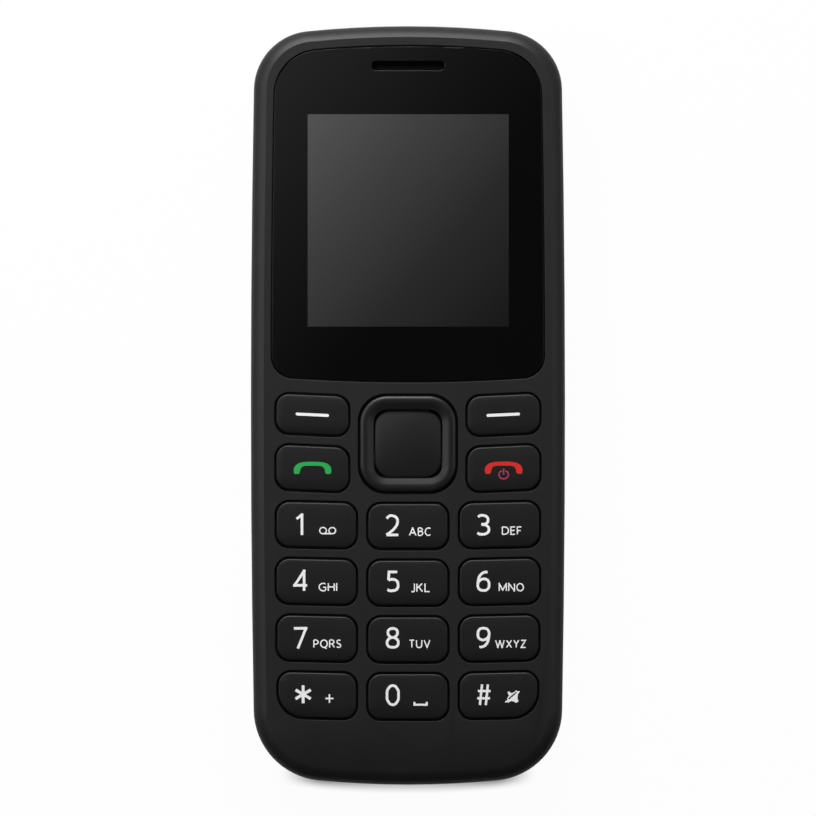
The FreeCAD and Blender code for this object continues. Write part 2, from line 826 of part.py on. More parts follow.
def rear_lip():
    """The lip that locates the front housing, open at the latches."""
    z0 = joint_z - lip_height
    z1 = joint_z + lip_height
    inner = rise(case_outline(front_wall + lip_gap), z0, z1)
    lip = join(inner, rise(case_outline(side_wall / 2), z0, joint_z))
    cuts = [rise(case_outline(band_wall), z0, z1)]
    cuts += [rod(x, y, boss_radius + lip_gap, joint_z, z1) for x, y in screw_places]
    cuts += [latch_block(side, front_wall + latch_gap - latch_barb, latch_barb + latch_thick, z0, z1, fit_gap)
             for side in (-1, 1)]
    torch_room = 2 * (torch_radius + torch_flange + fit_gap)
    cuts.append(block(torch_x, top_end, torch_room, 2 * (band_wall + past), z0, joint_z))
    return lip.cut(cuts)


def rear_housing():
    """Rear shell: back wall, deck, battery bay, tray, bosses and port openings."""
    shell = join(rear_top(), rear_band(), rear_lip(), *rear_bosses())
    return shell.cut(rear_cuts())


def rear_cover():
    """Battery cover: the back's lower part, with tongues at its top and hooks at its sides."""
    outside = shell_solid(0, 0, joint_z, back_round)
    inside = shell_solid(back_wall, back_wall, joint_z, back_round - back_wall)
    room = box(-width, width, port_end - past, cover_end, 0, cover_rim)
    cover = outside.cut(inside).common(room)
    parts = []
    tongue_z = back_wall + tongue_gap
    inner = battery_width / 2 + fit_gap + bay_wall
    outer = width / 2 - tongue_from_side
    for side in (-1, 1):
        parts.append(between(side, inner, outer, cover_end - tongue_length,
                             cover_end + tongue_length, tongue_z, tongue_z + tongue))
        parts.append(between(side, inner, outer, cover_end - tongue_length,
                             cover_end - cover_gap, back_wall / 2, tongue_z))
        for y in hook_rows():
            edge = half_width_at(y)
            parts.append(between(side, edge - back_wall - hook_reach, edge - back_wall / 2,
                                 y - hook_length / 2, y + hook_length / 2,
                                 hook_z(), hook_z() + hook_thick))
    return join(cover, *parts)


def mesh_block(gap):
    """The earpiece mesh's place under the window, with a gap round it."""
    return block(0, slot_y, slot_width + 2 * (mesh_margin + gap), slot_height + 2 * (mesh_margin + gap),
                 adhesive_z - mesh, adhesive_z)


# ---- Window and display ---------------------------------------------------------

def display_window():
    lens = rise(window_outline(0), window_z, window_top_z)
    return lens.cut(rounded_block(0, slot_y, slot_width, slot_height, slot_round, window_z, window_top_z))


def window_adhesive():
    frame = rise(window_outline(fit_gap), adhesive_z, window_z)
    slot = rounded_block(0, slot_y, slot_width, slot_height, slot_round, adhesive_z, window_z)
    return frame.cut([view_block(adhesive_z, window_z), slot])


def cell_box(grow, z0, z1):
    """The glass cell's place, grown by a distance in plan."""
    half = view_width / 2 + cell_side + grow
    low = view_y - view_length / 2 - cell_driver - grow
    return box(-half, half, low, view_y + view_length / 2 + cell_side + grow, z0, z1)


def lcd_cell():
    return cell_box(0, cell_z, cell_z + cell)


def backlight_frame():
    tub = cell_box(backlight_rim, board_top + cell_gap, cell_z + backlight_lip)
    flex_room = block(0, cell_low(), flex_width + fit_gap, 2 * (backlight_rim + fit_gap),
                      cell_z - flex, cell_z + cell)
    return tub.cut([cell_box(cell_gap / 2, cell_z, cell_z + cell), flex_room])


def cell_low():
    """The driver end of the glass cell."""
    return view_y - view_length / 2 - cell_driver


def connector_y():
    return window_bottom_y + connector_length / 2 - fit_gap


def display_connector():
    return block(0, connector_y(), connector_width, connector_length, board_top, board_top + connector_height)


def display_flex():
    """The display's flexible tail, from under the glass down to its connector."""
    top = cell_z
    low = board_top + connector_height
    tail_y = connector_y() - connector_length / 4
    run = box(-flex_width / 2, flex_width / 2, tail_y, cell_low() + backlight_rim, top - flex, top)
    drop = box(-flex_width / 2, flex_width / 2, tail_y, tail_y + flex, low, top)
    return join(run, drop)


def earpiece_mesh():
    return mesh_block(0)


def earpiece_speaker():
    return rounded_block(0, slot_y, earpiece_width, earpiece_length, slot_round,
                         board_top + cell_gap / 2, ledge_z - cell_gap / 2)


# ---- Key mat, domes, lamps and board -----------------------------------------

def mat_outline(inset):
    """The key mat's outline: the keys' field with a margin."""
    half = column_pitch + key_width / 2 + mat_margin - inset
    top = window_bottom_y - mat_window_gap - inset
    low = last_row_y - max(last_key_length / 2 + mat_margin, dome_radius + dome_gap + mat_wall) + inset
    corners = [vec(-half, low), vec(half, low), vec(half, top), vec(-half, top)]
    rounding = last_key_corner + mat_margin - inset
    return rounded_polygon(corners, [rounding, rounding, key_corner, key_corner])


def keypad_mat():
    """The silicone mat: a web with a wall round it, and a pad and a plunger at each key."""
    web = rise(mat_outline(0), web_z, web_top)
    wall = rise(mat_outline(0), board_top, web_z).cut(rise(mat_outline(mat_wall), board_top, web_z))
    pads = [rise(slanted_outline(key, -mat_pad_inset), web_top, key_base) for key in keys + [select]]
    plungers = [rod(x, y, plunger_radius, plunger_z, web_z) for x, y in dome_places]
    bosses = [rod(x, y, boss_radius + lip_gap, board_top, web_top) for x, y in screw_places]
    return join(web, wall, *pads, *plungers).cut(bosses)


def dome_sheet_solid():
    sheet = rise(mat_outline(mat_wall + fit_gap), board_top, board_top + dome_sheet)
    holes = [rod(x, y, dome_radius + dome_gap, board_top, board_top + dome_sheet) for x, y in dome_places]
    lamps = [block(x, y, lamp_width + fit_gap, lamp_length + fit_gap, board_top, board_top + dome_sheet)
             for x, y in lamp_places()]
    return sheet.cut(holes + lamps)


def dome(x, y):
    """A snap dome: a thin cap of a sphere."""
    outer = (dome_radius ** 2 + dome_height ** 2) / (2 * dome_height)
    centre = vec(x, y, board_top + dome_height - outer)
    cap = Part.makeSphere(outer, centre).cut(Part.makeSphere(outer - dome_thick, centre))
    return cap.common(rod(x, y, dome_radius + past, board_top, board_top + dome_height + past))


def lamp_places():
    """Lamps under the bars between the rows, beside the middle column."""
    places = []
    for row in range(3):
        y = first_row_y - (row + 0.5) * row_pitch
        places += [(side * column_pitch / 2, y) for side in (-1, 1)]
    return places


def keypad_leds():
    return group([block(x, y, lamp_width, lamp_length, board_top, board_top + lamp_height)
                  for x, y in lamp_places()])


def main_board():
    """The circuit board, notched round the screw bosses and the latches."""
    sheet = rise(case_outline(band_wall + board_edge_gap), board_z, board_top)
    notches = [rod(x, y, boss_radius + boss_gap, board_z, board_top) for x, y in screw_places]
    notches += [latch_block(side, 0, front_wall + latch_gap + latch_thick, board_z, board_top, fit_gap)
                for side in (-1, 1)]
    return sheet.cut(notches)


def shield_box(side, long):
    """A shield can's outside, under the board's back."""
    x0 = side * shield_from_centre
    x1 = side * (shield_from_centre + shield_width)
    y0 = cross_y + cross_wall + shield_past_wall
    return min(x0, x1), max(x0, x1), y0, y0 + long


def shield_cans():
    cans = []
    for side, long in ((-1, shield_left_length), (1, shield_right_length)):
        x0, x1, y0, y1 = shield_box(side, long)
        can = box(x0, x1, y0, y1, board_z - shield_height, board_z)
        s = shield_sheet
        cans.append(can.cut(box(x0 + s, x1 - s, y0 + s, y1 - s, board_z - shield_height + s, board_z)))
    return group(cans)


def chip(side, long, size, height):
    """A chip in the middle of a shield can."""
    x0, x1, y0, y1 = shield_box(side, long)
    return block((x0 + x1) / 2, (y0 + y1) / 2, size, size, board_z - height, board_z)


# ---- Ports ----------------------------------------------------------------------

def audio_jack():
    """The headphone socket: a round nose in the case's wall and a block behind it."""
    nose_y = port_end + jack_set_back
    body_y = nose_y + jack_nose
    body = block(0, body_y + (jack_length - jack_nose) / 2, jack_width, jack_length - jack_nose,
                 board_z - jack_height, board_z)
    nose = rod_y(0, jack_z, jack_radius + jack_wall, nose_y, body_y + jack_wall)
    return join(body, nose).cut(rod_y(0, jack_z, jack_radius, nose_y - past, nose_y + jack_length + past))


def jack_contacts():
    """The socket's contacts along its two sides, down to the board."""
    y0 = port_end + jack_set_back + jack_nose + fit_gap
    edge = jack_width / 2
    return group([between(side, edge, edge + contact_thick, y0, y0 + contact_length, jack_z, board_z)
                  for side in (-1, 1)])


def usb_place(grow, y_low, y_high):
    z0 = board_z - usb_height
    half = usb_width / 2 - grow
    return box(usb_x - half, usb_x + half, y_low, y_high, z0 + grow, board_z - grow)


def usb_front():
    """The socket's mouth, just inside the bowed end."""
    return port_end + usb_set_back


def usb_connector():
    shell = usb_place(0, usb_front(), usb_front() + usb_length)
    return shell.cut(usb_place(usb_shell, usb_front(), usb_front() + usb_length - usb_shell))


def usb_tongue_solid():
    z = board_z - usb_height / 2
    return box(usb_x - usb_tongue_width / 2, usb_x + usb_tongue_width / 2, usb_front() + usb_shell,
               usb_front() + usb_length - usb_shell, z, z + usb_tongue)


def boot_front():
    """The microphone boot's face against the case's wall."""
    return port_end_at(microphone_x + microphone_radius + boot_wall) + band_wall + cover_gap


def boot_block(grow, y0):
    """The microphone boot's place, grown by a distance, from y0 on."""
    half = microphone_radius + boot_wall + grow
    return box(microphone_x - half, microphone_x + half,
               y0, boot_front() + boot_wall + microphone_length + grow, microphone_z() - half, board_z)


def microphone_boot():
    y0 = boot_front()
    y1 = y0 + boot_wall + microphone_length
    boot = boot_block(0, y0)
    return boot.cut([rod_y(microphone_x, microphone_z(), microphone_radius, y0 + boot_wall, y1),
                     rod_y(microphone_x, microphone_z(), sound_hole, y0, y1)])


def microphone():
    y0 = boot_front() + boot_wall
    return rod_y(microphone_x, microphone_z(), microphone_radius, y0, y0 + microphone_length)


# ---- Battery and its contacts ------------------------------------------------

def battery():
    pack = bay_block(0, battery_z, battery_z + battery_depth)
    long_edges = [edge for edge in pack.Edges if edge.BoundBox.YLength > battery_length / 2]
    return pack.makeFillet(battery_round, long_edges)


def contact_rows():
    return [contact_x + (i - (contact_pads - 1) / 2) * contact_pitch for i in range(contact_pads)]


def contact_z():
    return battery_z + battery_depth / 2


def battery_terminals():
    return group([block(x, battery_high + pad_thick / 2, pad_width, pad_thick,
                        contact_z() - pad_height / 2, contact_z() + pad_height / 2) for x in contact_rows()])


def battery_connector():
    """The block on the board that carries the battery's spring contacts."""
    y0 = contact_block_y()
    half = contact_block_width() / 2
    return box(contact_x - half, contact_x + half, y0, y0 + block_length,
               contact_z() - pad_height / 2, board_z)


def battery_springs():
    y0 = battery_high + pad_thick + spring_gap
    return group([block(x, y0 + fit_gap / 2, pad_width / 2, fit_gap, contact_z() - pad_height / 4,
                        contact_z() + pad_height / 4) for x in contact_rows()])


def card_holder(x, y, wide, long):
    """A thin metal frame on the board's back that a card slides into."""
    z0 = tray_z + holder_sink
    frame = block(x, y, wide, long, z0, board_z)
    room = box(x - wide / 2 + holder_metal, x + wide / 2 - holder_metal, y - long / 2 - past,
               y + long / 2 - holder_metal, z0 + holder_metal, z0 + holder_metal + holder_slot)
    view = block(x, y, wide - 2 * holder_border, long - 2 * holder_border, z0, z0 + holder_metal)
    return frame.cut([room, view])


def sim_holders():
    return group([card_holder(*place) for place in holder_places()[:2]])


# ---- Speaker, motor, torch, antenna and screws -----------------------------------

def loudspeaker():
    z0 = back_wall + mesh
    can = rod(0, speaker_y, speaker_radius, z0, z0 + speaker_depth)
    return can.cut(rod(0, speaker_y, speaker_radius - speaker_rim, z0, z0 + mesh))


def speaker_mesh():
    return rod(0, speaker_y, speaker_radius - fit_gap, back_wall, back_wall + mesh)


def motor_right():
    return motor_left + motor_length


def vibration_motor():
    can = rod_x(motor_y, motor_z, motor_radius, motor_left, motor_right())
    return can.cut(rod_x(motor_y, motor_z, shaft_radius + shaft_clearance, motor_right() - shaft_depth,
                         motor_right()))


def vibration_shaft():
    return rod_x(motor_y, motor_z, shaft_radius, motor_right() - shaft_depth + fit_gap,
                 motor_right() + weight_gap + weight_length)


def vibration_weight():
    """The off-centre weight on the motor's shaft, heavy side down."""
    x0 = motor_right() + weight_gap
    x1 = x0 + weight_length
    half = rod_x(motor_y, motor_z, weight_radius, x0, x1)
    half = half.cut(box(x0, x1, motor_y - width, motor_y + width, motor_z, motor_z + width))
    return join(half, rod_x(motor_y, motor_z, weight_hub, x0, x1)).cut(
        rod_x(motor_y, motor_z, shaft_radius, x0, x1))


def torch_surface():
    """Where the case's outside meets the torch's axis."""
    return top_end - torch_x ** 2 / (2 * top_arc)


def torch_lens():
    inner = torch_surface() - side_wall
    stem = rod_y(torch_x, torch_z(), torch_radius, inner - torch_flange_thick, torch_surface() - cover_gap)
    foot = rod_y(torch_x, torch_z(), torch_radius + torch_flange, inner - torch_flange_thick - fit_gap,
                 inner - fit_gap)
    return join(stem, foot)


def torch_led():
    y1 = torch_surface() - side_wall - torch_flange_thick - fit_gap - cell_gap
    return box(torch_x - torch_led_width / 2, torch_x + torch_led_width / 2, y1 - torch_led_length, y1,
               torch_z() - torch_radius, board_z)


def antenna_solid():
    """The antenna: a thin plate on its ribs, with a foot up to the board."""
    y0 = antenna_y()
    plate = box(antenna_left, antenna_right, y0, y0 + antenna_length, antenna_z, antenna_z + antenna)
    slot_y0 = y0 + antenna_slot_inset
    slot = box(antenna_left + antenna_slot_inset, antenna_right - antenna_slot_inset,
               slot_y0, slot_y0 + antenna_slot, antenna_z, antenna_z + antenna)
    foot = box(antenna_right - pad_width, antenna_right, y0, y0 + antenna, antenna_z, board_z)
    return join(plate.cut(slot), foot)


def housing_screws():
    screws = []
    for x, y in screw_places:
        shank = rod(x, y, screw_radius, seat_z - screw_head / 2, joint_z + screw_bite - fit_gap)
        head = rod(x, y, screw_head_radius, seat_z - screw_head, seat_z)
        screws.append(join(head, shank).cut(rod(x, y, drive_radius, seat_z - screw_head,
                                                seat_z - screw_head + drive_depth)))
    return group(screws)


nodes = {
    "front_housing": front_housing(),
    "rear_housing": rear_housing(),
    "rear_cover": rear_cover(),
    "display_window": display_window(),
    "window_adhesive": window_adhesive(),
    "lcd_cell": lcd_cell(),
    "backlight_frame": backlight_frame(),
    "display_flex": display_flex(),
    "display_connector": display_connector(),
    "earpiece_mesh": earpiece_mesh(),
    "earpiece_speaker": earpiece_speaker(),
    "nav_ring": nav_ring(),
    "nav_ring_pad": nav_ring_pad(),
    "select_key": select_key(),
    "keypad_mat": keypad_mat(),
    "dome_sheet": dome_sheet_solid(),
    "domes": group([dome(x, y) for x, y in dome_places]),
    "keypad_leds": keypad_leds(),
    "main_board": main_board(),
    "shield_cans": shield_cans(),
    "processor_chip": chip(-1, shield_left_length, processor_width, processor_height),
    "radio_chip": chip(1, shield_right_length, radio_width, radio_height),
    "audio_jack": audio_jack(),
    "jack_contacts": jack_contacts(),
    "usb_connector": usb_connector(),
    "usb_tongue": usb_tongue_solid(),
    "microphone_boot": microphone_boot(),
    "microphone": microphone(),
    "battery": battery(),
    "battery_terminals": battery_terminals(),
    "battery_connector": battery_connector(),
    "battery_springs": battery_springs(),
    "sim_holders": sim_holders(),
    "memory_card_holder": card_holder(*holder_places()[2]),
    "loudspeaker": loudspeaker(),
    "speaker_mesh": speaker_mesh(),
    "vibration_motor": vibration_motor(),
    "vibration_shaft": vibration_shaft(),
    "vibration_weight": vibration_weight(),
    "torch_lens": torch_lens(),
    "torch_led": torch_led(),
    "antenna": antenna_solid(),
    "housing_screws": housing_screws(),
}
for key in keys:
    nodes[key["name"]] = key_cap(key)

os.makedirs("parts", exist_ok=True)
for name, shape in nodes.items():
    shape.exportStep(os.path.join("parts", name + ".step"))
    print(name, len(shape.Solids), round(shape.Volume, 2), shape.isValid())
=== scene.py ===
import bpy, bmesh, json, math
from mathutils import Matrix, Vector

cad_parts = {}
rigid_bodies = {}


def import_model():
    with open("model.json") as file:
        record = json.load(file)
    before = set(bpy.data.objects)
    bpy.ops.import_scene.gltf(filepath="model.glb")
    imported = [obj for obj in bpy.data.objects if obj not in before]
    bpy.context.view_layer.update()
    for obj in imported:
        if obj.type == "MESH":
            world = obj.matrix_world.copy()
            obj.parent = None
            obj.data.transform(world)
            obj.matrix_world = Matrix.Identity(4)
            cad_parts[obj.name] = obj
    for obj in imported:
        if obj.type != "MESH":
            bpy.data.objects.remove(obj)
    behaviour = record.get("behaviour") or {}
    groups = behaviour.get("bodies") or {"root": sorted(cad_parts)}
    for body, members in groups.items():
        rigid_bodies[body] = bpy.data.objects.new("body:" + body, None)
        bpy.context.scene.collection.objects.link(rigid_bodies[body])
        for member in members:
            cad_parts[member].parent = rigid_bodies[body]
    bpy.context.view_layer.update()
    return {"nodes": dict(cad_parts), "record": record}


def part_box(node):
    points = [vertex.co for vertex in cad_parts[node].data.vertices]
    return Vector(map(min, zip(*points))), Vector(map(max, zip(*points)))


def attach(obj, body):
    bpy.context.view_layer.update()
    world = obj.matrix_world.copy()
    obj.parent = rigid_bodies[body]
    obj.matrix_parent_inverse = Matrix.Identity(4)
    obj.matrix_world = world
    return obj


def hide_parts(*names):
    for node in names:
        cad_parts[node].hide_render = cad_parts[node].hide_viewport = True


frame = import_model()
nodes = frame["nodes"]
mm = 0.001
hair = 0.001  # millimetres, within which two places are the same


class Wire:  # a node's output, which can be used in sums
    def __init__(self, finish, socket):
        self.finish, self.socket = finish, socket

    def maths(self, operation, *values):
        return self.finish.add("ShaderNodeMath", {"operation": operation}, list(values))

    def __add__(self, other):
        return self.maths("ADD", self, other)

    def __sub__(self, other):
        return self.maths("SUBTRACT", self, other)

    def __rsub__(self, other):
        return self.maths("SUBTRACT", other, self)

    def __mul__(self, other):
        return self.maths("MULTIPLY", self, other)

    def __truediv__(self, other):
        return self.maths("DIVIDE", self, other)

    def __rtruediv__(self, other):
        return self.maths("DIVIDE", other, self)

    def __pow__(self, other):
        return self.maths("POWER", self, other)

    def __gt__(self, other):
        return self.maths("GREATER_THAN", self, other)

    def __lt__(self, other):
        return self.maths("LESS_THAN", self, other)

    def __abs__(self):
        return self.maths("ABSOLUTE", self)

    def least(self, other):
        return self.maths("MINIMUM", self, other)

    def most(self, other):
        return self.maths("MAXIMUM", self, other)

    def zigzag(self, step):  # runs up and down again every step millimetres
        return self.maths("PINGPONG", self, step * mm)

    def ramp(self, low, high, start=0.0, end=1.0):  # start below low, end above high, smooth between
        settings = {"interpolation_type": "SMOOTHSTEP"}
        return self.finish.add("ShaderNodeMapRange", settings, [self, low, high, start, end])

    __radd__ = __add__
    __rmul__ = __mul__


class Finish:
    def __init__(self, block):  # a new material's name, or the world
        if isinstance(block, str):
            block = bpy.data.materials.new(block)
        self.block = block
        block.use_nodes = True
        self.tree = block.node_tree
        self.tree.nodes.clear()

    def add(self, kind, settings=None, sockets=None, output=0):
        node = self.tree.nodes.new(kind)
        for key, value in (settings or {}).items():
            if key == "stops":
                stops = node.color_ramp.elements
                while len(stops) < len(value):
                    stops.new(1.0)
                for stop, (place, colour) in zip(stops, value):
                    stop.position, stop.color = place, (*colour, 1.0)
            else:
                setattr(node, key, value)
        pairs = sockets.items() if isinstance(sockets, dict) else enumerate(sockets or [])
        for key, value in pairs:
            if isinstance(value, Wire):
                self.tree.links.new(value.socket, node.inputs[key])
                continue
            if isinstance(value, (tuple, list)) and len(value) == 3 and node.inputs[key].type == "RGBA":
                value = (*value, 1.0)
            node.inputs[key].default_value = value
        if len(node.outputs):
            return Wire(self, node.outputs[output])

    def place(self):  # object coordinates, in metres
        return self.add("ShaderNodeTexCoord", output="Object")

    def split(self, vector):  # its x, y and z
        node = self.add("ShaderNodeSeparateXYZ", None, [vector]).socket.node
        return [Wire(self, output) for output in node.outputs]

    def stretch(self, where, scale):
        return self.add("ShaderNodeMapping", None, {"Vector": where, "Scale": scale})

    def noise(self, where, size, detail=2.0):  # size of a patch in millimetres
        sockets = {"Vector": where, "Scale": 1 / (size * mm), "Detail": detail}
        return self.add("ShaderNodeTexNoise", None, sockets)

    def cells(self, where, size, feature="F1"):
        sockets = {"Vector": where, "Scale": 1 / (size * mm)}
        return self.add("ShaderNodeTexVoronoi", {"feature": feature}, sockets)

    def blend(self, factor, first, second):  # first where factor is 0, second where it is 1
        sockets = {0: factor, 6: first, 7: second}
        return self.add("ShaderNodeMix", {"data_type": "RGBA"}, sockets, output=2)

    def bump(self, height, depth):  # depth in millimetres
        return self.add("ShaderNodeBump", None, {"Height": height, "Distance": depth * mm, "Strength": 1.0})

    def surface(self, sockets):
        return self.add("ShaderNodeBsdfPrincipled", None, sockets)

    def finish(self, shader):
        self.add("ShaderNodeOutputMaterial", None, [shader])
        return self.block


def deselect():
    if bpy.context.object and bpy.context.object.mode != "OBJECT":
        bpy.ops.object.mode_set(mode="OBJECT")
    bpy.ops.object.select_all(action="DESELECT")


studio = {  # metres and watts
    "cameraHeight": 2.0, "frontHeight": 0.01,  # the front is what the camera and the lamps look at
    "across": 0.12816, "middle": (0.000008, -0.000398),  # what the picture shows
    "clipEnd": 10.0,
    "lamps": {  # place, width, length, watts
        "topLamp": ((-0.05, 0.26, 0.24), 0.26, 0.12, 1.15),
        "leftLamp": ((-0.25, 0.05, 0.29), 0.12, 0.26, 0.27),
        "rightLamp": ((0.25, 0.03, 0.29), 0.12, 0.26, 0.115),
    },
}


def makeCamera():
    bpy.context.scene.view_settings.view_transform = "Standard"
    bpy.ops.object.camera_add(location=(*studio["middle"], studio["cameraHeight"] + studio["frontHeight"]))
    camera = bpy.context.object
    camera.data.lens = camera.data.sensor_width * studio["cameraHeight"] / studio["across"]
    camera.data.clip_end = studio["clipEnd"]
    bpy.context.scene.camera = camera


def makeLamps():
    for name, (where, width, length, watts) in studio["lamps"].items():
        bpy.ops.object.light_add(type="AREA", location=where)
        lamp = bpy.context.object
        lamp.name = name
        lamp.data.shape = "RECTANGLE"
        lamp.data.size, lamp.data.size_y, lamp.data.energy = width, length, watts
        lamp.rotation_mode = "QUATERNION"
        aim = Vector((0, 0, studio["frontHeight"])) - Vector(where)
        lamp.rotation_quaternion = aim.to_track_quat("-Z", "Y")


# brightness of the walls, more at the top and less at the right, and of the ceiling, from these heights up
air = {"wall": 0.22, "topWall": 0.55, "rightWall": 0.06, "darkest": 0.02,
       "ceiling": 0.06, "heights": (0.2, 0.7)}


def makeAir():  # white where the camera sees it
    world = bpy.data.worlds.new("studioAir")
    bpy.context.scene.world = world
    made = Finish(world)
    east, north, height = made.split(made.add("ShaderNodeTexCoord", output="Generated"))
    side = (air["wall"] + north * air["topWall"] - east * air["rightWall"]).most(air["darkest"])
    lit = side + height.ramp(*air["heights"]) * (air["ceiling"] - side)
    level = lit.most(made.add("ShaderNodeLightPath", output="Is Camera Ray"))
    colour = made.add("ShaderNodeCombineColor", None, [level, level, level])
    made.add("ShaderNodeOutputWorld", None, [made.add("ShaderNodeBackground", None, [colour])])


ground = {
    "size": 6, "drop": 0.01,  # metres across, millimetres below the object
    "greys": ((0.86, 0.86, 0.86), (0.88, 0.88, 0.88)), "patch": 4.0, "rough": 0.9, "shine": 0.1,
    "bow": 3.45, "edge": 0.0592,  # the port end lies at y = bow * x * x - edge
    "shadow": (0.0002, 0.0023), "sides": (0.013, 0.0205),  # where the painted shadow mask fades, outside the end and to the sides
    "white": 0.97, "dark": 0.55, "darker": 1800.0,  # seen by the camera, and taken off inside the painted shadow mask, more towards the sides
    "touch": 1.0, "glow": 0.5,  # lights the back, which rests within touch of it
}


def makeGround():  # white to the camera except at the port end, where a painted mask lets the real shadow show and darkens it further, more towards the sides
    made = Finish("paleFloor")
    whole = made.place()
    x, y = made.split(whole)[:2]
    grey = made.blend(made.noise(whole, ground["patch"]), *ground["greys"])
    matt = made.surface({"Base Color": grey, "Roughness": ground["rough"],
                         "Specular IOR Level": ground["shine"]})
    white = made.add("ShaderNodeEmission", None, {"Color": (1.0, 1.0, 1.0), "Strength": 1.0})
    # a painted shadow mask: the real shadow shows only here, and the mask darkens the floor further towards
    # the sides
    outside = x * x * ground["bow"] - y - ground["edge"]
    paintedShadowMask = outside.ramp(*ground["shadow"], 1.0, 0.0) * abs(x).ramp(*ground["sides"], 1.0, 0.0) * (y < 0.0)
    straight = made.add("ShaderNodeLightPath", output="Is Camera Ray")
    seen = straight.most(made.add("ShaderNodeLightPath", output="Is Transmission Ray"))
    close = made.add("ShaderNodeLightPath", output="Ray Length") < ground["touch"] * mm
    share = seen * (ground["white"] - paintedShadowMask * (ground["dark"] + x * x * ground["darker"]))
    above = made.add("ShaderNodeMixShader", None, [share.most(close * ground["glow"]), matt, white])
    below = made.add("ShaderNodeNewGeometry", output="Backfacing")
    clear = made.add("ShaderNodeBsdfTransparent")  # the back can be looked at from below
    material = made.finish(made.add("ShaderNodeMixShader", None, [below, above, clear]))
    deselect()
    bpy.ops.mesh.primitive_plane_add(size=ground["size"], location=(0, 0, -ground["drop"] * mm))
    sheet = bpy.context.object
    sheet.name = "floor"
    sheet.data.materials.append(material)


makeCamera()
makeLamps()
makeAir()
makeGround()
print("studio made")


# sizes of a patch and depths of a bump are in millimetres in every finish below
plastics = {
    "casePlastic": {"colour": (0.0088, 0.0088, 0.0091), "rough": 0.46, "grain": 0.16, "bump": 0.004},
    "backPlastic": {"colour": (0.0108, 0.0108, 0.0111), "rough": 0.52, "grain": 0.22, "bump": 0.010},
    "keyPlastic": {"colour": (0.0059, 0.0059, 0.0061), "rough": 0.42, "grain": 0.14, "bump": 0.003},
    "ringPlastic": {"colour": (0.0076, 0.0076, 0.0078), "rough": 0.36, "grain": 0.14, "bump": 0.002},
    "connectorPlastic": {"colour": (0.02, 0.02, 0.021), "rough": 0.55, "grain": 0.2, "bump": 0.006},
    "whitePlastic": {"colour": (0.72, 0.72, 0.69), "rough": 0.42, "grain": 0.5, "bump": 0.004},
    "siliconeRubber": {"colour": (0.30, 0.30, 0.31), "rough": 0.62, "grain": 0.5, "bump": 0.008},
    "blackFoam": {"colour": (0.008, 0.008, 0.008), "rough": 0.85, "grain": 0.12, "bump": 0.02},
    "flexFilm": {"colour": (0.42, 0.17, 0.035), "rough": 0.3, "grain": 1.2, "bump": 0.004},
    "clearFilm": {"colour": (0.62, 0.62, 0.58), "rough": 0.2, "grain": 2.0, "bump": 0.004},
    "chipResin": {"colour": (0.02, 0.02, 0.021), "rough": 0.5, "grain": 0.08, "bump": 0.004},
}
plasticVary = {"cloud": 9.0, "colour": 0.1, "detail": 3.0, "cloudRough": 0.06, "grainRough": 0.05,
               "index": 1.46}


def plasticFinish(name):
    values = plastics[name]
    made = Finish(name)
    whole = made.place()
    cloud = made.noise(whole, plasticVary["cloud"])
    grain = made.noise(whole, values["grain"], plasticVary["detail"])
    dark, light = ([c * (1 + sign * plasticVary["colour"]) for c in values["colour"]] for sign in (-1, 1))
    rough = (cloud - 0.5) * plasticVary["cloudRough"] + (grain - 0.5) * plasticVary["grainRough"]
    return made.finish(made.surface({"Base Color": made.blend(cloud, dark, light),
                                     "Roughness": values["rough"] + rough, "IOR": plasticVary["index"],
                                     "Normal": made.bump(grain, values["bump"])}))


metals = {
    "stampedSteel": {"colour": (0.52, 0.52, 0.51), "rough": 0.3, "streak": (1.0, 14.0, 1.0)},
    "speakerSteel": {"colour": (0.42, 0.42, 0.42), "rough": 0.36, "streak": (4.0, 4.0, 4.0)},
    "sinteredSteel": {"colour": (0.36, 0.36, 0.38), "rough": 0.48, "streak": (3.0, 3.0, 3.0)},
    "blackScrew": {"colour": (0.10, 0.10, 0.105), "rough": 0.34, "streak": (6.0, 6.0, 1.0)},
    "goldPlate": {"colour": (0.83, 0.60, 0.25), "rough": 0.24, "streak": (2.0, 8.0, 2.0)},
}
metalVary = {"streak": 1.4, "detail": 4.0, "cloud": 3.0, "darkest": 0.82,
             "streakRough": 0.22, "cloudRough": 0.12, "bump": 0.004}


def metalFinish(name):
    values = metals[name]
    made = Finish(name)
    whole = made.place()
    along = made.stretch(whole, values["streak"])
    streak = made.noise(along, metalVary["streak"], metalVary["detail"])
    cloud = made.noise(whole, metalVary["cloud"])
    tone = made.blend(cloud, [c * metalVary["darkest"] for c in values["colour"]], values["colour"])
    rough = (streak - 0.5) * metalVary["streakRough"] + (cloud - 0.5) * metalVary["cloudRough"]
    return made.finish(made.surface({"Base Color": tone, "Roughness": values["rough"] + rough,
                                     "Metallic": 1.0, "Normal": made.bump(streak, metalVary["bump"])}))


# a lane's and a via's edge are shares of its cell
board = {"masks": ((0.006, 0.055, 0.022), (0.010, 0.085, 0.034)), "cloud": 6.0,
         "lane": 1.7, "laneEdge": 0.06, "laneTone": (0.03, 0.19, 0.07), "laneShare": 0.5,
         "via": 0.9, "viaEdge": 0.14, "viaTone": (0.5, 0.42, 0.22),
         "rough": 0.34, "vary": 0.12, "grain": 0.8, "bump": 0.02}


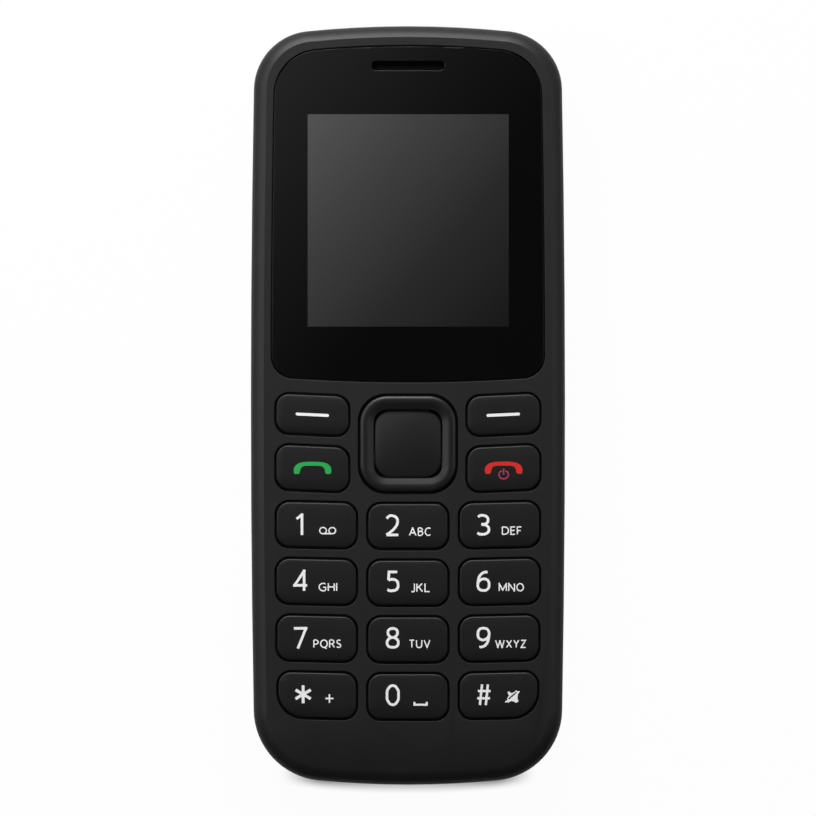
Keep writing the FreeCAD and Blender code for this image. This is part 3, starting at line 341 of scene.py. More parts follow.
def boardFinish():  # green mask over copper lanes, with bare vias
    made = Finish("boardLaminate")
    whole = made.place()
    lanes = made.cells(whole, board["lane"], "DISTANCE_TO_EDGE") < board["laneEdge"]
    vias = made.cells(whole, board["via"]) < board["viaEdge"]
    tone = made.blend(made.noise(whole, board["cloud"]), *board["masks"])
    tone = made.blend(lanes * board["laneShare"], tone, board["laneTone"])
    tone = made.blend(vias, tone, board["viaTone"])
    rough = board["rough"] + made.noise(whole, board["grain"]) * board["vary"]
    return made.finish(made.surface({"Base Color": tone, "Roughness": rough,
                                     "Normal": made.bump(lanes.most(vias), board["bump"])}))


battery = {"wrap": (0.10, 0.11, 0.12), "crease": (0.16, 0.17, 0.18), "creaseShare": 0.5,
           "end": (0.015, 0.015, 0.016), "endLength": 2.7,
           "along": (1.0, 0.25, 1.0), "wrinkle": 2.2, "detail": 3.0,
           "rough": 0.30, "vary": 0.15, "bump": 0.03}


def batteryFinish():  # a wrinkled wrap with a dark band at each end
    made = Finish("batteryWrap")
    whole = made.place()
    y = made.split(whole)[1]
    low, high = (corner.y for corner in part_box("battery"))
    ends = abs(y - (low + high) / 2) > (high - low) / 2 - battery["endLength"] * mm
    along = made.stretch(whole, battery["along"])
    wrinkle = made.noise(along, battery["wrinkle"], battery["detail"])
    tone = made.blend(ends, battery["wrap"], battery["end"])
    tone = made.blend((wrinkle - 0.5).most(0.0) * battery["creaseShare"], tone, battery["crease"])
    rough = battery["rough"] + wrinkle * battery["vary"]
    return made.finish(made.surface({"Base Color": tone, "Roughness": rough,
                                     "Normal": made.bump(wrinkle, battery["bump"])}))


mesh = {"pitch": 0.22, "tones": ((0.0006, 0.0006, 0.0006), (0.003, 0.003, 0.003)),
        "rough": 0.9, "shine": 0.1, "bump": 0.05}


def meshFinish():  # threads woven in both diagonals
    made = Finish("wovenMesh")
    x, y = made.split(made.place())[:2]
    thread = (x + y).zigzag(mesh["pitch"]).most((x - y).zigzag(mesh["pitch"])) / (mesh["pitch"] * mm)
    return made.finish(made.surface({"Base Color": made.blend(thread, *mesh["tones"]),
                                     "Roughness": mesh["rough"], "Specular IOR Level": mesh["shine"],
                                     "Normal": made.bump(thread, mesh["bump"])}))


display = {  # millimetres
    "middle": (0.04, 29.01), "size": (31.52, 33.28), "height": 13.5,
    "pixel": 0.26, "line": 0.012, "lineShare": 0.08, "lineTone": (0.006, 0.006, 0.006),
    "lean": 0.52,  # how much of the painted reflection's fall runs across, and the rest down
    # greys of the painted reflection, from the upper left to the lower right
    "paintedSheenGreys": ((0.0, (0.082, 0.082, 0.084)), (0.30, (0.050, 0.050, 0.051)),
               (0.65, (0.022, 0.022, 0.0225)), (1.0, (0.0085, 0.0085, 0.009))),
    "rough": 0.2, "vary": 0.1, "cloud": 8.0,
}


def displayGridAndPaintedSheen(made, x, y):  # grey with a painted reflection, lightest at the upper left, and its pixel grid
    across = (x - display["middle"][0] * mm) / (display["size"][0] * mm) + 0.5
    up = (y - display["middle"][1] * mm) / (display["size"][1] * mm) + 0.5
    share = across * display["lean"] + (1.0 - up) * (1.0 - display["lean"])
    paintedSheen = made.add("ShaderNodeValToRGB", {"stops": display["paintedSheenGreys"]}, [share])
    grid = y.zigzag(display["pixel"] / 2).least(x.zigzag(display["pixel"] / 2)) < display["line"] * mm
    return made.blend(grid * display["lineShare"], paintedSheen, display["lineTone"])


def displayFinish():
    made = Finish("displayGlass")
    whole = made.place()
    x, y = made.split(whole)[:2]
    rough = display["rough"] + made.noise(whole, display["cloud"]) * display["vary"]
    return made.finish(made.surface({"Base Color": displayGridAndPaintedSheen(made, x, y), "Roughness": rough}))


window = {  # black print, with a painted reflection that greys it towards the upper left corner
    # grey is the painted reflection's colour; left, up, start, power, most and share shape its fall
    "black": (0.0009, 0.0009, 0.0010), "grey": (0.019, 0.019, 0.0193),
    "left": 23.0, "up": 17.0, "start": 0.27, "power": 1.4, "most": 1.3, "share": 0.62,
    "rough": 0.16, "vary": 0.06, "cloud": 14.0, "index": 1.4,
}


def windowFinish():
    made = Finish("windowAcrylic")
    whole = made.place()
    x, y, z = made.split(whole)
    beside, past = (abs(at - middle * mm) - size / 2 * mm
                    for at, middle, size in zip((x, y), display["middle"], display["size"]))
    shown = (beside.most(past) < 0.0) * (z > display["height"] * mm)
    # a painted reflection over the black print, greyer towards the upper left
    paintedSheen = (y * window["up"] - x * window["left"] - window["start"]).most(0.0) ** window["power"]
    maskAndPaintedSheen = made.blend(paintedSheen.least(window["most"]) * window["share"], window["black"], window["grey"])
    tone = made.blend(shown, maskAndPaintedSheen, displayGridAndPaintedSheen(made, x, y))
    rough = window["rough"] + made.noise(whole, window["cloud"]) * window["vary"]
    return made.finish(made.surface({"Base Color": tone, "Roughness": rough, "IOR": window["index"]}))


lens = {"colour": (0.75, 0.76, 0.78), "through": (0.9, 0.9, 0.9), "clear": 0.55, "cloud": 1.5, "rough": 0.12,
        "vary": 0.1, "bump": 0.002}


def clearFinish():
    made = Finish("clearPlastic")
    haze = made.noise(made.place(), lens["cloud"])
    face = made.surface({"Base Color": lens["colour"], "Roughness": lens["rough"] + haze * lens["vary"],
                         "Normal": made.bump(haze, lens["bump"])})
    through = made.add("ShaderNodeBsdfTransparent", None, {"Color": lens["through"]})
    return made.finish(made.add("ShaderNodeMixShader", None, [lens["clear"], face, through]))


inks = {"whiteInk": (0.97, 0.97, 0.97), "greenInk": (0.011, 0.40, 0.075), "redInk": (0.70, 0.011, 0.006),
        "plumInk": (0.38, 0.036, 0.08)}
inkLook = {"grain": 0.25, "detail": 3.0, "darkest": 0.94, "rough": 0.5, "vary": 0.1, "bump": 0.003,
           "glow": 0.075}


def inkFinish(name):
    made = Finish(name)
    grain = made.noise(made.place(), inkLook["grain"], inkLook["detail"])
    tone = made.blend(grain, [c * inkLook["darkest"] for c in inks[name]], inks[name])
    rough = inkLook["rough"] + grain * inkLook["vary"]
    # the inks glow faintly, painted light that makes them brighter than the lamps alone light them
    return made.finish(made.surface({"Base Color": tone, "Roughness": rough,
                                     "Normal": made.bump(grain, inkLook["bump"]),
                                     "Emission Color": tone, "Emission Strength": inkLook["glow"]}))


finishes = {name: plasticFinish(name) for name in plastics}
finishes.update({name: metalFinish(name) for name in metals})
finishes.update({name: inkFinish(name) for name in inks})
finishes.update({"boardLaminate": boardFinish(), "batteryWrap": batteryFinish(), "wovenMesh": meshFinish(),
                 "displayGlass": displayFinish(), "windowAcrylic": windowFinish(),
                 "clearPlastic": clearFinish()})
slotFinishes = {
    "case_plastic": "casePlastic", "back_plastic": "backPlastic", "key_plastic": "keyPlastic",
    "silicone": "siliconeRubber", "window_acrylic": "windowAcrylic", "black_adhesive": "blackFoam",
    "display_glass": "displayGlass", "white_plastic": "whitePlastic", "flex_film": "flexFilm",
    "clear_film": "clearFilm", "connector_plastic": "connectorPlastic", "mesh_fabric": "wovenMesh",
    "speaker_steel": "speakerSteel", "spring_steel": "stampedSteel", "dense_steel": "sinteredSteel",
    "screw_steel": "blackScrew", "contact_metal": "goldPlate", "board_laminate": "boardLaminate",
    "chip_resin": "chipResin", "battery_wrap": "batteryWrap", "clear_plastic": "clearPlastic",
}
for part in frame["record"]["subparts"]:
    for slot in nodes[part["node"]].material_slots:
        slot.material = finishes[slotFinishes[part["material_slot"]]]
print("finishes made:", len(finishes))


def startEdit(piece):
    deselect()
    piece.select_set(True)
    bpy.context.view_layer.objects.active = piece
    bpy.ops.object.mode_set(mode="EDIT")
    bpy.ops.mesh.select_all(action="SELECT")


def pick(kind, test):  # selects verts, edges or faces by a test
    bpy.ops.mesh.select_mode(type=kind[:4].upper())
    bpy.ops.mesh.select_all(action="DESELECT")
    shape = bmesh.from_edit_mesh(bpy.context.object.data)
    for item in getattr(shape, kind):
        if test(item):
            item.select_set(True)
    shape.select_flush_mode()
    bmesh.update_edit_mesh(bpy.context.object.data)


def middleOf(item):
    return sum((vert.co for vert in item.verts), Vector()) / len(item.verts)


def endEdit(piece, angle=40):
    bpy.ops.mesh.select_all(action="SELECT")
    bpy.ops.mesh.normals_make_consistent(inside=False)
    deselect()
    piece.select_set(True)
    bpy.ops.object.shade_smooth_by_angle(angle=math.radians(angle))


def dress(piece, body, material, slot, *stoodFor):
    piece.data.materials.clear()
    piece.data.materials.append(finishes[material])
    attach(piece, body)
    if stoodFor:
        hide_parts(*stoodFor)


def roundEdges(radius, segments):  # those that are picked
    bpy.ops.mesh.bevel(offset=radius * mm, segments=segments, profile=0.5)


def addBlock(name, x, y, width, length, base, top):  # a block in millimetres, its place in its mesh
    deselect()
    bpy.ops.mesh.primitive_cube_add(size=1, location=(x * mm, y * mm, (base + top) / 2 * mm),
                                    scale=(width * mm, length * mm, (top - base) * mm))
    piece = bpy.context.object
    piece.name = piece.data.name = name
    bpy.ops.object.transform_apply(location=True, rotation=True, scale=True)
    return piece


def copyPiece(piece, name, x, y):  # a copy with its own mesh, moved in millimetres
    deselect()
    piece.select_set(True)
    bpy.context.view_layer.objects.active = piece
    bpy.ops.object.duplicate(linked=False)
    made = bpy.context.object
    made.name = made.data.name = name
    bpy.ops.object.parent_clear(type="CLEAR_KEEP_TRANSFORM")
    bpy.ops.transform.translate(value=(x * mm, y * mm, 0))
    bpy.ops.object.transform_apply(location=True)
    return made


def slantBlock(x, width, slope):  # lifts its right end and lowers its left
    for side in (-1, 1):
        pick("verts", lambda vert: (vert.co.x - x * mm) * side > 0)
        bpy.ops.transform.translate(value=(0, side * slope * width / 2 * mm, 0))


def roundUprights(corners, segments=10):  # corners from the lower left, anticlockwise
    for radius, i, j in zip(corners, (-1, 1, 1, -1), (-1, -1, 1, 1)):
        shape = bmesh.from_edit_mesh(bpy.context.object.data)
        reach = max(vert.co.x * i + vert.co.y * j for vert in shape.verts) - hair * mm
        pick("edges", lambda edge: all(vert.co.x * i + vert.co.y * j > reach for vert in edge.verts))
        roundEdges(radius, segments)


rimHeight = 13.2  # every rim that the camera sees lies above it
levelLimit, steepLimit, uprightLimit = 0.9, 0.3, 0.1  # for z in the normals of such faces


def isRim(edge):  # between a top face and a wall
    if len(edge.link_faces) != 2:
        return False
    low, high = sorted(face.normal.z for face in edge.link_faces)
    return high > levelLimit and abs(low) < steepLimit and middleOf(edge).z > rimHeight * mm


keyStyle = {
    "gap": 0.165, "edge": 0.18, "base": 11.92, "top": 14.2,  # gap between a key and its opening
    "flange": 0.5, "flangeTop": 12.2,  # under the front, round the opening
    "drop": (0.05, 0.22, 0.09),  # of the crown at the sides, the port end, the other end
    "fall": (2.2, 3.4), "cuts": (1.45, 0.62),  # how late it drops, and its faces, across and along
    "cutMargin": 0.2, "weld": 0.05, "crown": 0.6,  # no vertex but the top's lies within crown of it
}
selectStyle = {**keyStyle, "flange": 0.0, "top": 14.0, "drop": (0.42, 0.42, 0.42), "fall": (2.0, 2.0)}
keyPlan = {
    "names": (("1", "2", "3"), ("4", "5", "6"), ("7", "8", "9"), ("star", "0", "hash")),
    "columns": (-14.35, 0.0, 14.35), "rows": (-18.93, -27.82, -36.71, -45.635), "sideLift": 0.2,
    "width": 12.76, "lengths": (7.31, 7.31, 7.31, 7.38), "corner": 2.155, "lastCorner": 4.155, "slant": 1.25,
    "insets": (0.0, 0.0, 0.1, 0.28),  # each row's outer keys, set in at the case's side
    "soft": (14.975, -1.455, 11.61, 6.46), "call": (14.975, -9.865, 11.61, 7.24), "softSlant": 2.6,
    "select": (0.0, -5.98, 10.84, 10.86), "selectCorner": 2.8,
}


def crownTop(x, y, width, length, slope, style):  # sinks the top towards its edges, in both directions
    def across(spot, axis):
        if axis == 0:
            return spot.x / mm - x
        return spot.y / mm - y - slope * (spot.x / mm - x)

    shape = bmesh.from_edit_mesh(bpy.context.object.data)
    side, portEnd, otherEnd = style["drop"]
    low = (style["top"] - style["crown"]) * mm
    tops = [vert.co.copy() for vert in shape.verts if vert.co.z > low]
    for axis, size, drops in ((0, width, (side, side)), (1, length, (portEnd, otherEnd))):
        for place in sorted({round(across(spot, axis), 2) for spot in tops}):
            pick("verts", lambda vert: vert.co.z > low and round(across(vert.co, axis), 2) == place)
            fall = drops[place > 0] * abs(place / (size / 2)) ** style["fall"][axis]
            bpy.ops.transform.translate(value=(0, 0, -fall * mm))


def addFoot(x, y, top, reach):  # widens what lies below top
    bpy.ops.mesh.select_all(action="SELECT")
    bpy.ops.mesh.bisect(plane_co=(0, 0, top * mm), plane_no=(0, 0, 1))
    middle = Vector((x * mm, y * mm, 0))
    pick("faces", lambda face: abs(face.normal.z) < uprightLimit and middleOf(face).z < top * mm
         and face.normal.dot(middleOf(face) - middle) > 0)
    bpy.ops.mesh.extrude_region_shrink_fatten(
        TRANSFORM_OT_shrink_fatten={"value": reach * mm, "use_even_offset": True})


def makeKey(name, x, y, width, length, slant, corners, style=keyStyle):
    gap, top, slope = style["gap"], style["top"], math.tan(math.radians(slant))
    wide, long = width - 2 * gap, length - 2 * gap
    piece = addBlock(name, x, y, wide, long, style["base"], top)
    startEdit(piece)
    slantBlock(x, wide, slope)
    roundUprights([radius - gap for radius in corners])
    if style["flange"]:
        addFoot(x, y, style["flangeTop"], gap + style["flange"])
    for way, size, step in (((1, 0, 0), wide, style["cuts"][0]), ((-slope, 1, 0), long, style["cuts"][1])):
        count = int((size / 2 - style["cutMargin"]) / step)
        for n in range(-count, count + 1):
            pick("faces", lambda face: face.normal.z > levelLimit and middleOf(face).z > (top - hair) * mm)
            at = ((x + way[0] * n * step) * mm, (y + way[1] * n * step) * mm, 0)
            bpy.ops.mesh.bisect(plane_co=at, plane_no=way)
    pick("verts", lambda vert: vert.co.z > (top - hair) * mm)
    bpy.ops.mesh.remove_doubles(threshold=style["weld"] * mm)
    crownTop(x, y, wide, long, slope, style)
    pick("edges", isRim)
    roundEdges(style["edge"], segments=4)
    endEdit(piece)
    return piece


def makeKeypad():
    caps = {}  # by node
    for column, x in enumerate(keyPlan["columns"]):
        side = column - 1  # -1 at the left, 1 at the right
        for row, y in enumerate(keyPlan["rows"]):
            name = keyPlan["names"][row][column]
            node = "key_" + name
            inset = keyPlan["insets"][row] * abs(side)
            if row in (1, 2) and not inset:  # the same as the first row's
                first = caps["key_" + keyPlan["names"][0][column]]
                caps[node] = copyPiece(first, "cap_" + name, 0, y - keyPlan["rows"][0])
                continue
            corners = [keyPlan["corner"]] * 4
            if row == 3 and side:  # the outer corner follows the case's
                corners[side > 0] = keyPlan["lastCorner"]
            lift = keyPlan["sideLift"] * abs(side)
            caps[node] = makeKey("cap_" + name, x - side * inset / 2, y + lift, keyPlan["width"] - inset,
                                 keyPlan["lengths"][row], side * keyPlan["slant"], corners)
    for side, names in ((-1, ("soft_left", "call_key")), (1, ("soft_right", "end_key"))):
        for node, (x, y, width, length) in zip(names, (keyPlan["soft"], keyPlan["call"])):
            caps[node] = makeKey("cap_" + node, side * x, y, width, length, side * keyPlan["softSlant"],
                                 [keyPlan["corner"]] * 4)
    caps["select_key"] = makeKey("cap_select", *keyPlan["select"], 0.0, [keyPlan["selectCorner"]] * 4,
                                 selectStyle)
    for node, piece in caps.items():
        dress(piece, node, "keyPlastic", "key_plastic", node)
    print("keys made:", len(caps))


ringStyle = {
    "middle": (0.0, -6.02), "size": 15.36, "corner": 4.42, "segments": 14, "hole": 10.81,
    "base": 11.4, "foot": 0.5, "footTop": 11.8, "shoulder": 14.18, "outerRound": 0.16,
    "ridge": 0.1, "slopeDrop": 0.1,  # the slope's middle lies at least this far below the ridge
    "profile": ((0.16, 0.10), (0.28, 0.09), (0.36, 0.03), (0.37, -0.05), (0.925, -0.27)),  # inwards, up
}


def isRingEdge(edge, height, test):  # level at a height, beside a face that passes the test
    level = all(abs(vert.co.z - height * mm) < hair * mm for vert in edge.verts)
    return level and len(edge.link_faces) == 2 and any(test(face) for face in edge.link_faces)


def makeRing():
    x, y = ringStyle["middle"]
    size, shoulder, gap = ringStyle["size"], ringStyle["shoulder"], keyStyle["gap"]
    piece = addBlock("ringCrown", x, y, size - 2 * gap, size - 2 * gap, ringStyle["base"], shoulder)
    startEdit(piece)
    roundUprights([ringStyle["corner"] - gap] * 4, ringStyle["segments"])
    wall = (size - ringStyle["hole"]) / 2 - gap
    for up, steps in ((1, ringStyle["profile"]), (-1, ((wall, 0.0),))):
        pick("faces", lambda face: face.normal.z * up > levelLimit)
        for part, lift in steps:
            bpy.ops.mesh.inset(thickness=part * mm, use_even_offset=True)
            bpy.ops.transform.translate(value=(0, 0, lift * mm))
        bpy.ops.mesh.delete(type="FACE")
    pick("edges", lambda edge: edge.is_boundary)
    bpy.ops.mesh.bridge_edge_loops()
    ridge = shoulder + sum(lift for part, lift in ringStyle["profile"][:-1])
    slopeTop = (ridge - ringStyle["slopeDrop"]) * mm
    pick("edges", lambda edge: isRingEdge(edge, ridge, lambda face: middleOf(face).z < slopeTop))
    roundEdges(ringStyle["ridge"], segments=3)
    pick("edges", lambda edge: isRingEdge(edge, shoulder, lambda face: abs(face.normal.z) < uprightLimit))
    roundEdges(ringStyle["outerRound"], segments=4)
    addFoot(x, y, ringStyle["footTop"], gap + ringStyle["foot"])
    endEdit(piece)
    dress(piece, "ring", "ringPlastic", "key_plastic", "nav_ring")
    print("ring made")


fronts = {  # edge and lip are radii of the rounding
    "windowPane": {"node": "display_window", "edge": 0.045, "lip": 0.1, "finish": "windowAcrylic",
                   "slot": "window_acrylic"},
    "frontShell": {"node": "front_housing", "edge": 0.09, "finish": "casePlastic", "slot": "case_plastic"},
}
frontStyle = {
    "faceFrom": 13.7, "faceLevel": 0.9999,  # the least height, and z of the normal, of its front face
    "flat": 0.5, "angle": 13,  # degrees
    "earSlot": (0.0, 52.55), "earReach": 6.5,
}


def isLip(edge):  # the rim of the earpiece slot
    away = middleOf(edge).xy / mm - Vector(frontStyle["earSlot"])
    return isRim(edge) and away.length < frontStyle["earReach"]


def makeFront(name):  # a CAD node's copy with its front edges rounded
    values = fronts[name]
    piece = copyPiece(nodes[values["node"]], name, 0, 0)
    startEdit(piece)
    bpy.ops.mesh.remove_doubles(threshold=hair * mm)
    pick("faces", lambda face: face.normal.z > frontStyle["faceLevel"]
         and middleOf(face).z > frontStyle["faceFrom"] * mm)
    bpy.ops.mesh.dissolve_limited(angle_limit=math.radians(frontStyle["flat"]))
    if "lip" in values:
        pick("edges", isLip)
        roundEdges(values["lip"], segments=3)
    pick("edges", isRim)
    roundEdges(values["edge"], segments=3)
    endEdit(piece, frontStyle["angle"])
    dress(piece, "handset", values["finish"], values["slot"], values["node"])
    print(name, "made")


# strokes in a unit box: "-" straight, "~" smooth, "o" smooth and closed. "@" is a tape sign, "_" a space sign
glyphs = {
    "0": "o.5,1 .93,.8 1,.5 .93,.2 .5,0 .07,.2 0,.5 .07,.8",
    "1": "-0,.8 1,1 1,0",
    "2": "~.02,.85 .2,.97 .47,1 .85,.88 .93,.68 .8,.45 .4,.18 0,0;-0,0 1,0",
    "3": "~.05,.92 .25,.99 .5,1 .85,.9 .92,.74 .8,.58 .35,.525;"
         "~.35,.525 .8,.46 1,.27 .85,.07 .45,0 .2,.01 0,.07",
    "4": "-1,.28 0,.28 .76,1 .76,0",
    "5": "-.92,1 .15,1 .1,.56;~.1,.56 .3,.6 .5,.61 .88,.52 1,.31 .88,.09 .45,0 .2,.01 0,.06",
    "6": "~.87,.99 .55,.97 .2,.8 .03,.5 0,.3;o0,.33 .13,.08 .5,0 .88,.08 1,.31 .88,.54 .52,.62 .15,.52",
    "7": "-0,1 1,1 .33,0",
    "8": "o.5,1 .85,.92 .93,.77 .8,.6 .5,.52 .2,.6 .07,.77 .15,.92;"
         "o.5,.52 .88,.42 1,.24 .88,.06 .5,0 .12,.06 0,.24 .12,.42",
    "9": "~.13,.01 .45,.03 .8,.2 .97,.5 1,.7;o1,.67 .87,.92 .5,1 .12,.92 0,.69 .12,.46 .48,.38 .85,.48",
    "*": "-.5,1 .5,0;-.0,.75 1,.25;-0,.25 1,.75",
    "#": "-.36,1 .2,0;-.8,1 .64,0;-.05,.68 1,.68;-0,.33 .95,.33",
    "+": "-.5,1 .5,0;-0,.5 1,.5",
    "power": "~.3,.8 .06,.62 0,.42 .13,.13 .5,0 .87,.13 1,.42 .94,.62 .7,.8;-.5,1 .5,.4",
    "_": "-0,1 0,0 1,0 1,1",
    "@": "o.21,1 .36,.86 .42,.5 .36,.14 .21,0 .06,.14 0,.5 .06,.86;"
         "o.79,1 .94,.86 1,.5 .94,.14 .79,0 .64,.14 .58,.5 .64,.86;-.21,0 .79,0",
    "A": "-0,0 .5,1 1,0;-.18,.34 .82,.34",
    "B": "-0,0 0,1;~0,1 .55,.99 .88,.77 .5,.54 0,.54;~0,.54 .6,.53 1,.27 .6,.01 0,0",
    "C": "~.98,.9 .62,1 .2,.85 0,.5 .2,.15 .62,0 .98,.1",
    "D": "-0,0 0,1;~0,1 .45,.98 .88,.8 1,.5 .88,.2 .45,.02 0,0",
    "E": "-1,1 0,1 0,0 1,0;-0,.53 .9,.53",
    "F": "-1,1 0,1 0,0;-0,.5 .88,.5",
    "G": "~.95,.9 .62,1 .2,.86 0,.5 .18,.14 .6,0 .97,.1;-.97,.1 .97,.47 .6,.47",
    "H": "-0,0 0,1;-1,0 1,1;-0,.52 1,.52",
    "I": "-0,0 0,1",
    "J": "-1,1 1,.22;~1,.25 .85,.03 .4,-.02 0,.03",
    "K": "-0,0 0,1;-.95,1 .05,.45;-.3,.6 1,0",
    "L": "-0,1 0,0 1,0",
    "M": "-0,0 0,1 .5,.12 1,1 1,0",
    "N": "-0,0 0,1 1,0 1,1",
    "O": "o.5,1 .86,.85 1,.5 .86,.15 .5,0 .14,.15 0,.5 .14,.85",
    "P": "-0,0 0,1;~0,1 .6,.99 .97,.73 .6,.46 0,.45",
    "Q": "o.5,1 .86,.85 1,.5 .86,.15 .5,0 .14,.15 0,.5 .14,.85;-.55,.02 .9,-.2",
    "R": "-0,0 0,1;~0,1 .6,.99 .92,.76 .6,.51 0,.5;-.5,.5 1,0",
    "S": "~.95,.93 .55,1 .1,.86 .15,.62 .5,.5 .9,.36 .93,.12 .45,0 0,.07",
    "T": "-0,1 1,1;-.5,1 .5,0",
    "U": "-0,1 0,.35;~0,.38 .1,.08 .5,0 .9,.08 1,.38;-1,.35 1,1",
    "V": "-0,1 .5,0 1,1",
    "W": "-0,1 .25,0 .5,.95 .75,0 1,1",
    "X": "-0,1 1,0;-0,0 1,1",
    "Y": "-0,1 .5,.48 1,1;-.5,.48 .5,0",
    "Z": "-0,1 1,1 0,0 1,0",
}
letterWidths = {  # between the strokes' middles, shares of the height
    "A": .8, "B": .55, "C": .66, "D": .72, "E": .48, "F": .46, "G": .72, "H": .63, "I": .0, "J": .3, "K": .56,
    "L": .46, "M": .88, "N": .72, "O": .8, "P": .54, "Q": .8, "R": .58, "S": .48, "T": .6, "U": .68, "V": .74,
    "W": 1.12, "X": .64, "Y": .64, "Z": .58,
}
# outlines round each icon's middle, in millimetres
icons = {
    "arch": "-2.9,-.88 -2.96,-.5 -2.93,-.16 -2.82,.12 -2.56,.44 -2.15,.7 -1.5,.86 -.6,.93 .6,.93 1.5,.86 "
            "2.15,.7 2.56,.44 2.82,.12 2.93,-.16 2.96,-.5 2.9,-.88 2.74,-.98 2.2,-.98 2.04,-.88 1.96,-.5 "
            "1.83,-.1 1.58,.16 1.2,.28 .6,.31 -.6,.31 -1.2,.28 -1.58,.16 -1.83,-.1 -1.96,-.5 -2.04,-.88 "
            "-2.2,-.98 -2.74,-.98",
    "bell": "-.8,.67 -.56,.63 -.3,.38 .08,.54 .53,.86 .65,.7 .96,.75 1.02,.57 .7,.22 .68,-.52 .86,-.84 "
            ".66,-1.0 .44,-1.12 .08,-.9 -.24,-.81 -.43,-.87 -.78,-1.1 -.97,-1.02 -1.2,-1.12 -1.28,-.97 "
            "-1.13,-.78 -.88,-.71 -.96,-.49 -.65,.06 -.84,.42",
    "slit": "-.8,-.44 -.64,-.6 .62,.5 .45,.63",
}
# each key's marks: what, then left, bottom, right and top in millimetres
keyPrint = {
    "key_1": (("1", -17.67, -20.50, -16.41, -16.95), ("@", -13.92, -20.19, -11.25, -19.04)),
    "key_2": (("2", -3.57, -20.49, -1.29, -17.07), ("ABC", 0.14, -20.46, 3.64, -19.10)),
    "key_3": (("3", 10.68, -20.39, 12.90, -17.02), ("DEF", 14.70, -20.29, 17.85, -18.94)),
    "key_4": (("4", -17.97, -29.26, -15.60, -25.75), ("GHI", -14.01, -29.15, -11.08, -27.77)),
    "key_5": (("5", -3.42, -29.25, -1.34, -25.89), ("JKL", 0.44, -29.27, 3.50, -27.82)),
    "key_6": (("6", 10.74, -29.20, 12.92, -25.87), ("MNO", 14.22, -29.16, 18.17, -27.82)),
    "key_7": (("7", -18.08, -38.30, -15.79, -34.73), ("PQRS", -14.84, -38.01, -10.45, -36.67)),
    "key_8": (("8", -3.47, -38.10, -1.31, -34.74), ("TUV", 0.15, -38.02, 3.53, -36.69)),
    "key_9": (("9", 10.76, -38.09, 12.92, -34.70), ("WXYZ", 13.66, -38.02, 18.52, -36.71)),
    "key_star": (("*", -17.84, -46.90, -15.02, -43.65), ("+", -13.06, -46.71, -11.56, -45.14)),
    "key_0": (("0", -3.48, -47.12, -1.28, -43.69), ("_", 0.86, -47.06, 3.11, -46.31)),
    "key_hash": (("#", 10.68, -47.13, 13.13, -43.54),),
}
powerSign = ("power", 14.16, -11.61, 15.84, -9.79)
iconSpots = {"arch_call": (-14.955, -9.755), "arch_end": (15.0, -9.73), "bell_hash": (16.49, -45.495)}
softDash = {"x": (-14.995, 14.935), "y": -1.455, "width": 5.22, "thick": 0.45, "corner": 0.2205,
            "segments": 5, "base": 14.12, "top": 14.22}
strokes = {"digit": 0.405, "letter": 0.19, "gap": 0.19, "*": 0.45, "+": 0.24, "#": 0.365, "_": 0.31,
           "power": 0.22}
legend = {"height": 14.21, "powerHeight": 14.213, "thick": 0.06, "layer": 0.0006, "curveSteps": 5,
          "angle": 20}


def startCurve(name):
    deselect()
    bpy.ops.curve.primitive_nurbs_path_add()
    piece = bpy.context.object
    piece.name = piece.data.name = name
    piece.data.splines.clear()
    return piece.data


def addSpline(curve, kind, spots, lift, closed):
    spline = curve.splines.new(kind)
    smooth = kind == "BEZIER"
    points = spline.bezier_points if smooth else spline.points
    points.add(len(spots) - 1)
    for point, spot in zip(points, spots):
        where = (spot.x * mm, spot.y * mm, lift * mm)
        point.co = where if smooth else (*where, 1)
        point.tilt = math.pi / 2
        if smooth:
            point.handle_left_type = point.handle_right_type = "AUTO"
    spline.use_cyclic_u = closed
    spline.resolution_u = legend["curveSteps"]


def glyphStrokes(glyph, left, bottom, right, top, stroke):  # each one's kind, spots and whether it is closed
    inset = stroke / 2
    width, height = right - left - stroke, top - bottom - stroke
    for line in glyphs[glyph].split(";"):
        shares = [tuple(map(float, pair.split(","))) for pair in line[1:].split()]
        spots = [Vector((left + inset + u * width, bottom + inset + v * height, 0)) for u, v in shares]
        if line[0] != "-":
            yield "BEZIER", spots, line[0] == "o"
            continue
        for n, (a, b) in enumerate(zip(spots, spots[1:])):  # straight strokes run on where they meet
            along = (b - a).normalized() * inset
            start = a - along if n > 0 else a
            end = b + along if n < len(spots) - 2 else b
            yield "POLY", [start, end], False


def makeLegend(name, body, material, glyphBoxes, height):  # glyph, left, bottom, right, top and stroke width
    curve = startCurve(name)
    stroke = glyphBoxes[0][-1]
    curve.extrude = stroke / 2 * mm
    layer = 0
    for box in glyphBoxes:
        for kind, spots, closed in glyphStrokes(*box):
            layer += 1  # crossing strokes don't share a plane
            addSpline(curve, kind, spots, height + layer * legend["layer"], closed)
    curve.dimensions = "3D"
    curve.twist_mode = "Z_UP"
    bpy.ops.object.convert(target="MESH")
    piece = bpy.context.object
    bpy.ops.object.transform_apply(location=True, rotation=True, scale=True)
    startEdit(piece)
    pick("faces", lambda face: face.normal.z < 0)
    bpy.ops.mesh.flip_normals()
    deselect()
    piece.select_set(True)
    bpy.context.view_layer.objects.active = piece
    bpy.ops.object.modifier_add(type="SOLIDIFY")
    wall = piece.modifiers[-1]
    wall.thickness = legend["thick"] * mm
    wall.offset = -1
    bpy.ops.object.modifier_apply(modifier=wall.name)
    bpy.ops.object.shade_flat()
    dress(piece, body, material, "key_plastic")


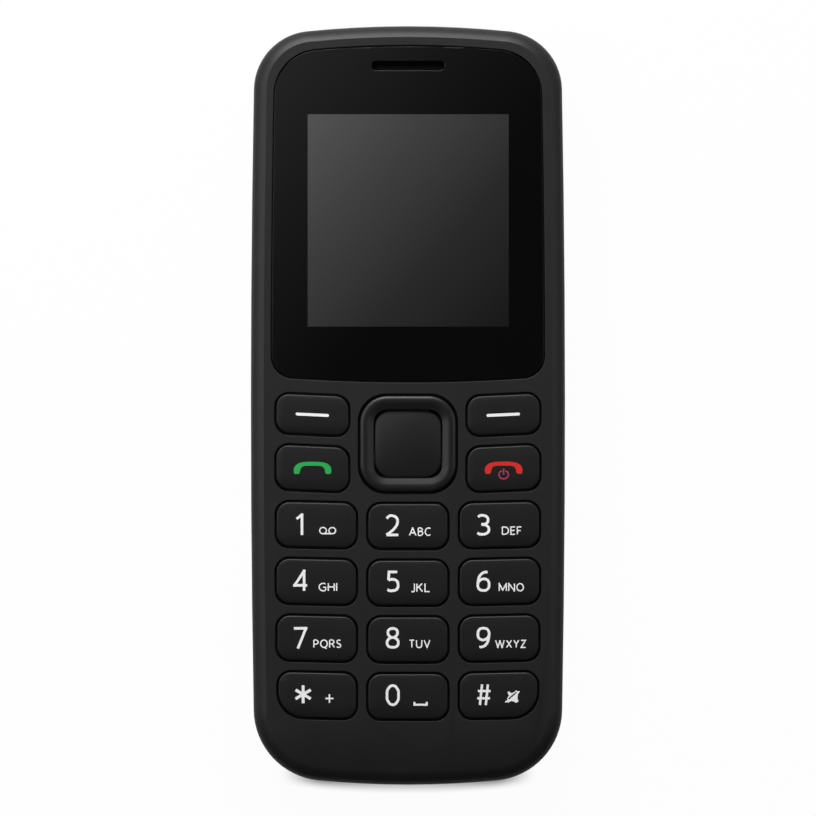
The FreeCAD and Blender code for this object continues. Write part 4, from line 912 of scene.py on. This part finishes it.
def makeIcon(name, body, material, *loops):
    x, y = iconSpots[name]
    curve = startCurve(name)
    curve.dimensions = "2D"
    for loop in loops:
        spots = [tuple(map(float, pair.split(","))) for pair in icons[loop].split()]
        addSpline(curve, "POLY", [Vector((x + u, y + v, 0)) for u, v in spots], 0, True)
    curve.fill_mode = "BOTH"
    curve.extrude = legend["thick"] / 2 * mm
    bpy.ops.object.convert(target="MESH")
    piece = bpy.context.object
    bpy.ops.transform.translate(value=(0, 0, (legend["height"] - legend["thick"] / 2) * mm))
    bpy.ops.object.transform_apply(location=True, rotation=True, scale=True)
    startEdit(piece)
    bpy.ops.mesh.remove_doubles(threshold=hair * mm)
    endEdit(piece, legend["angle"])
    dress(piece, body, material, "key_plastic")


def makeSoftDashes():
    for side, body, x in zip((-1, 1), ("soft_left", "soft_right"), softDash["x"]):
        piece = addBlock("dash_" + body, x, softDash["y"], softDash["width"], softDash["thick"],
                         softDash["base"], softDash["top"])
        startEdit(piece)
        slantBlock(x, softDash["width"], math.tan(math.radians(side * keyPlan["softSlant"])))
        roundUprights([softDash["corner"]] * 4, softDash["segments"])
        endEdit(piece, legend["angle"])
        dress(piece, body, "whiteInk", "key_plastic")


def wordBoxes(word, left, bottom, right, top):  # shares a word's width among its letters
    stroke, gap = strokes["letter"], strokes["gap"]
    free = right - left - len(word) * stroke - (len(word) - 1) * gap
    boxes, at = [], left
    for letter in word:
        wide = letterWidths[letter] / sum(letterWidths[each] for each in word) * free + stroke
        boxes.append((letter, at, bottom, at + wide, top, stroke))
        at += wide + gap
    return boxes


def makeLegends():
    makeSoftDashes()
    makeIcon("arch_call", "call_key", "greenInk", "arch")
    makeIcon("arch_end", "end_key", "redInk", "arch")
    makeIcon("bell_hash", "key_hash", "whiteInk", "bell", "slit")
    makeLegend("power_end", "end_key", "plumInk", [(*powerSign, strokes["power"])], legend["powerHeight"])
    for body, marks in keyPrint.items():
        for title, usual, (word, *edges) in zip(("figure_", "letters_"), ("digit", "letter"), marks):
            if len(word) > 1:
                boxes = wordBoxes(word, *edges)
            else:
                boxes = [(word, *edges, strokes.get(word, strokes[usual]))]
            makeLegend(title + body, body, "whiteInk", boxes, legend["height"])
    print("legends made")


makeKeypad()
makeRing()
for name in fronts:
    makeFront(name)
makeLegends()
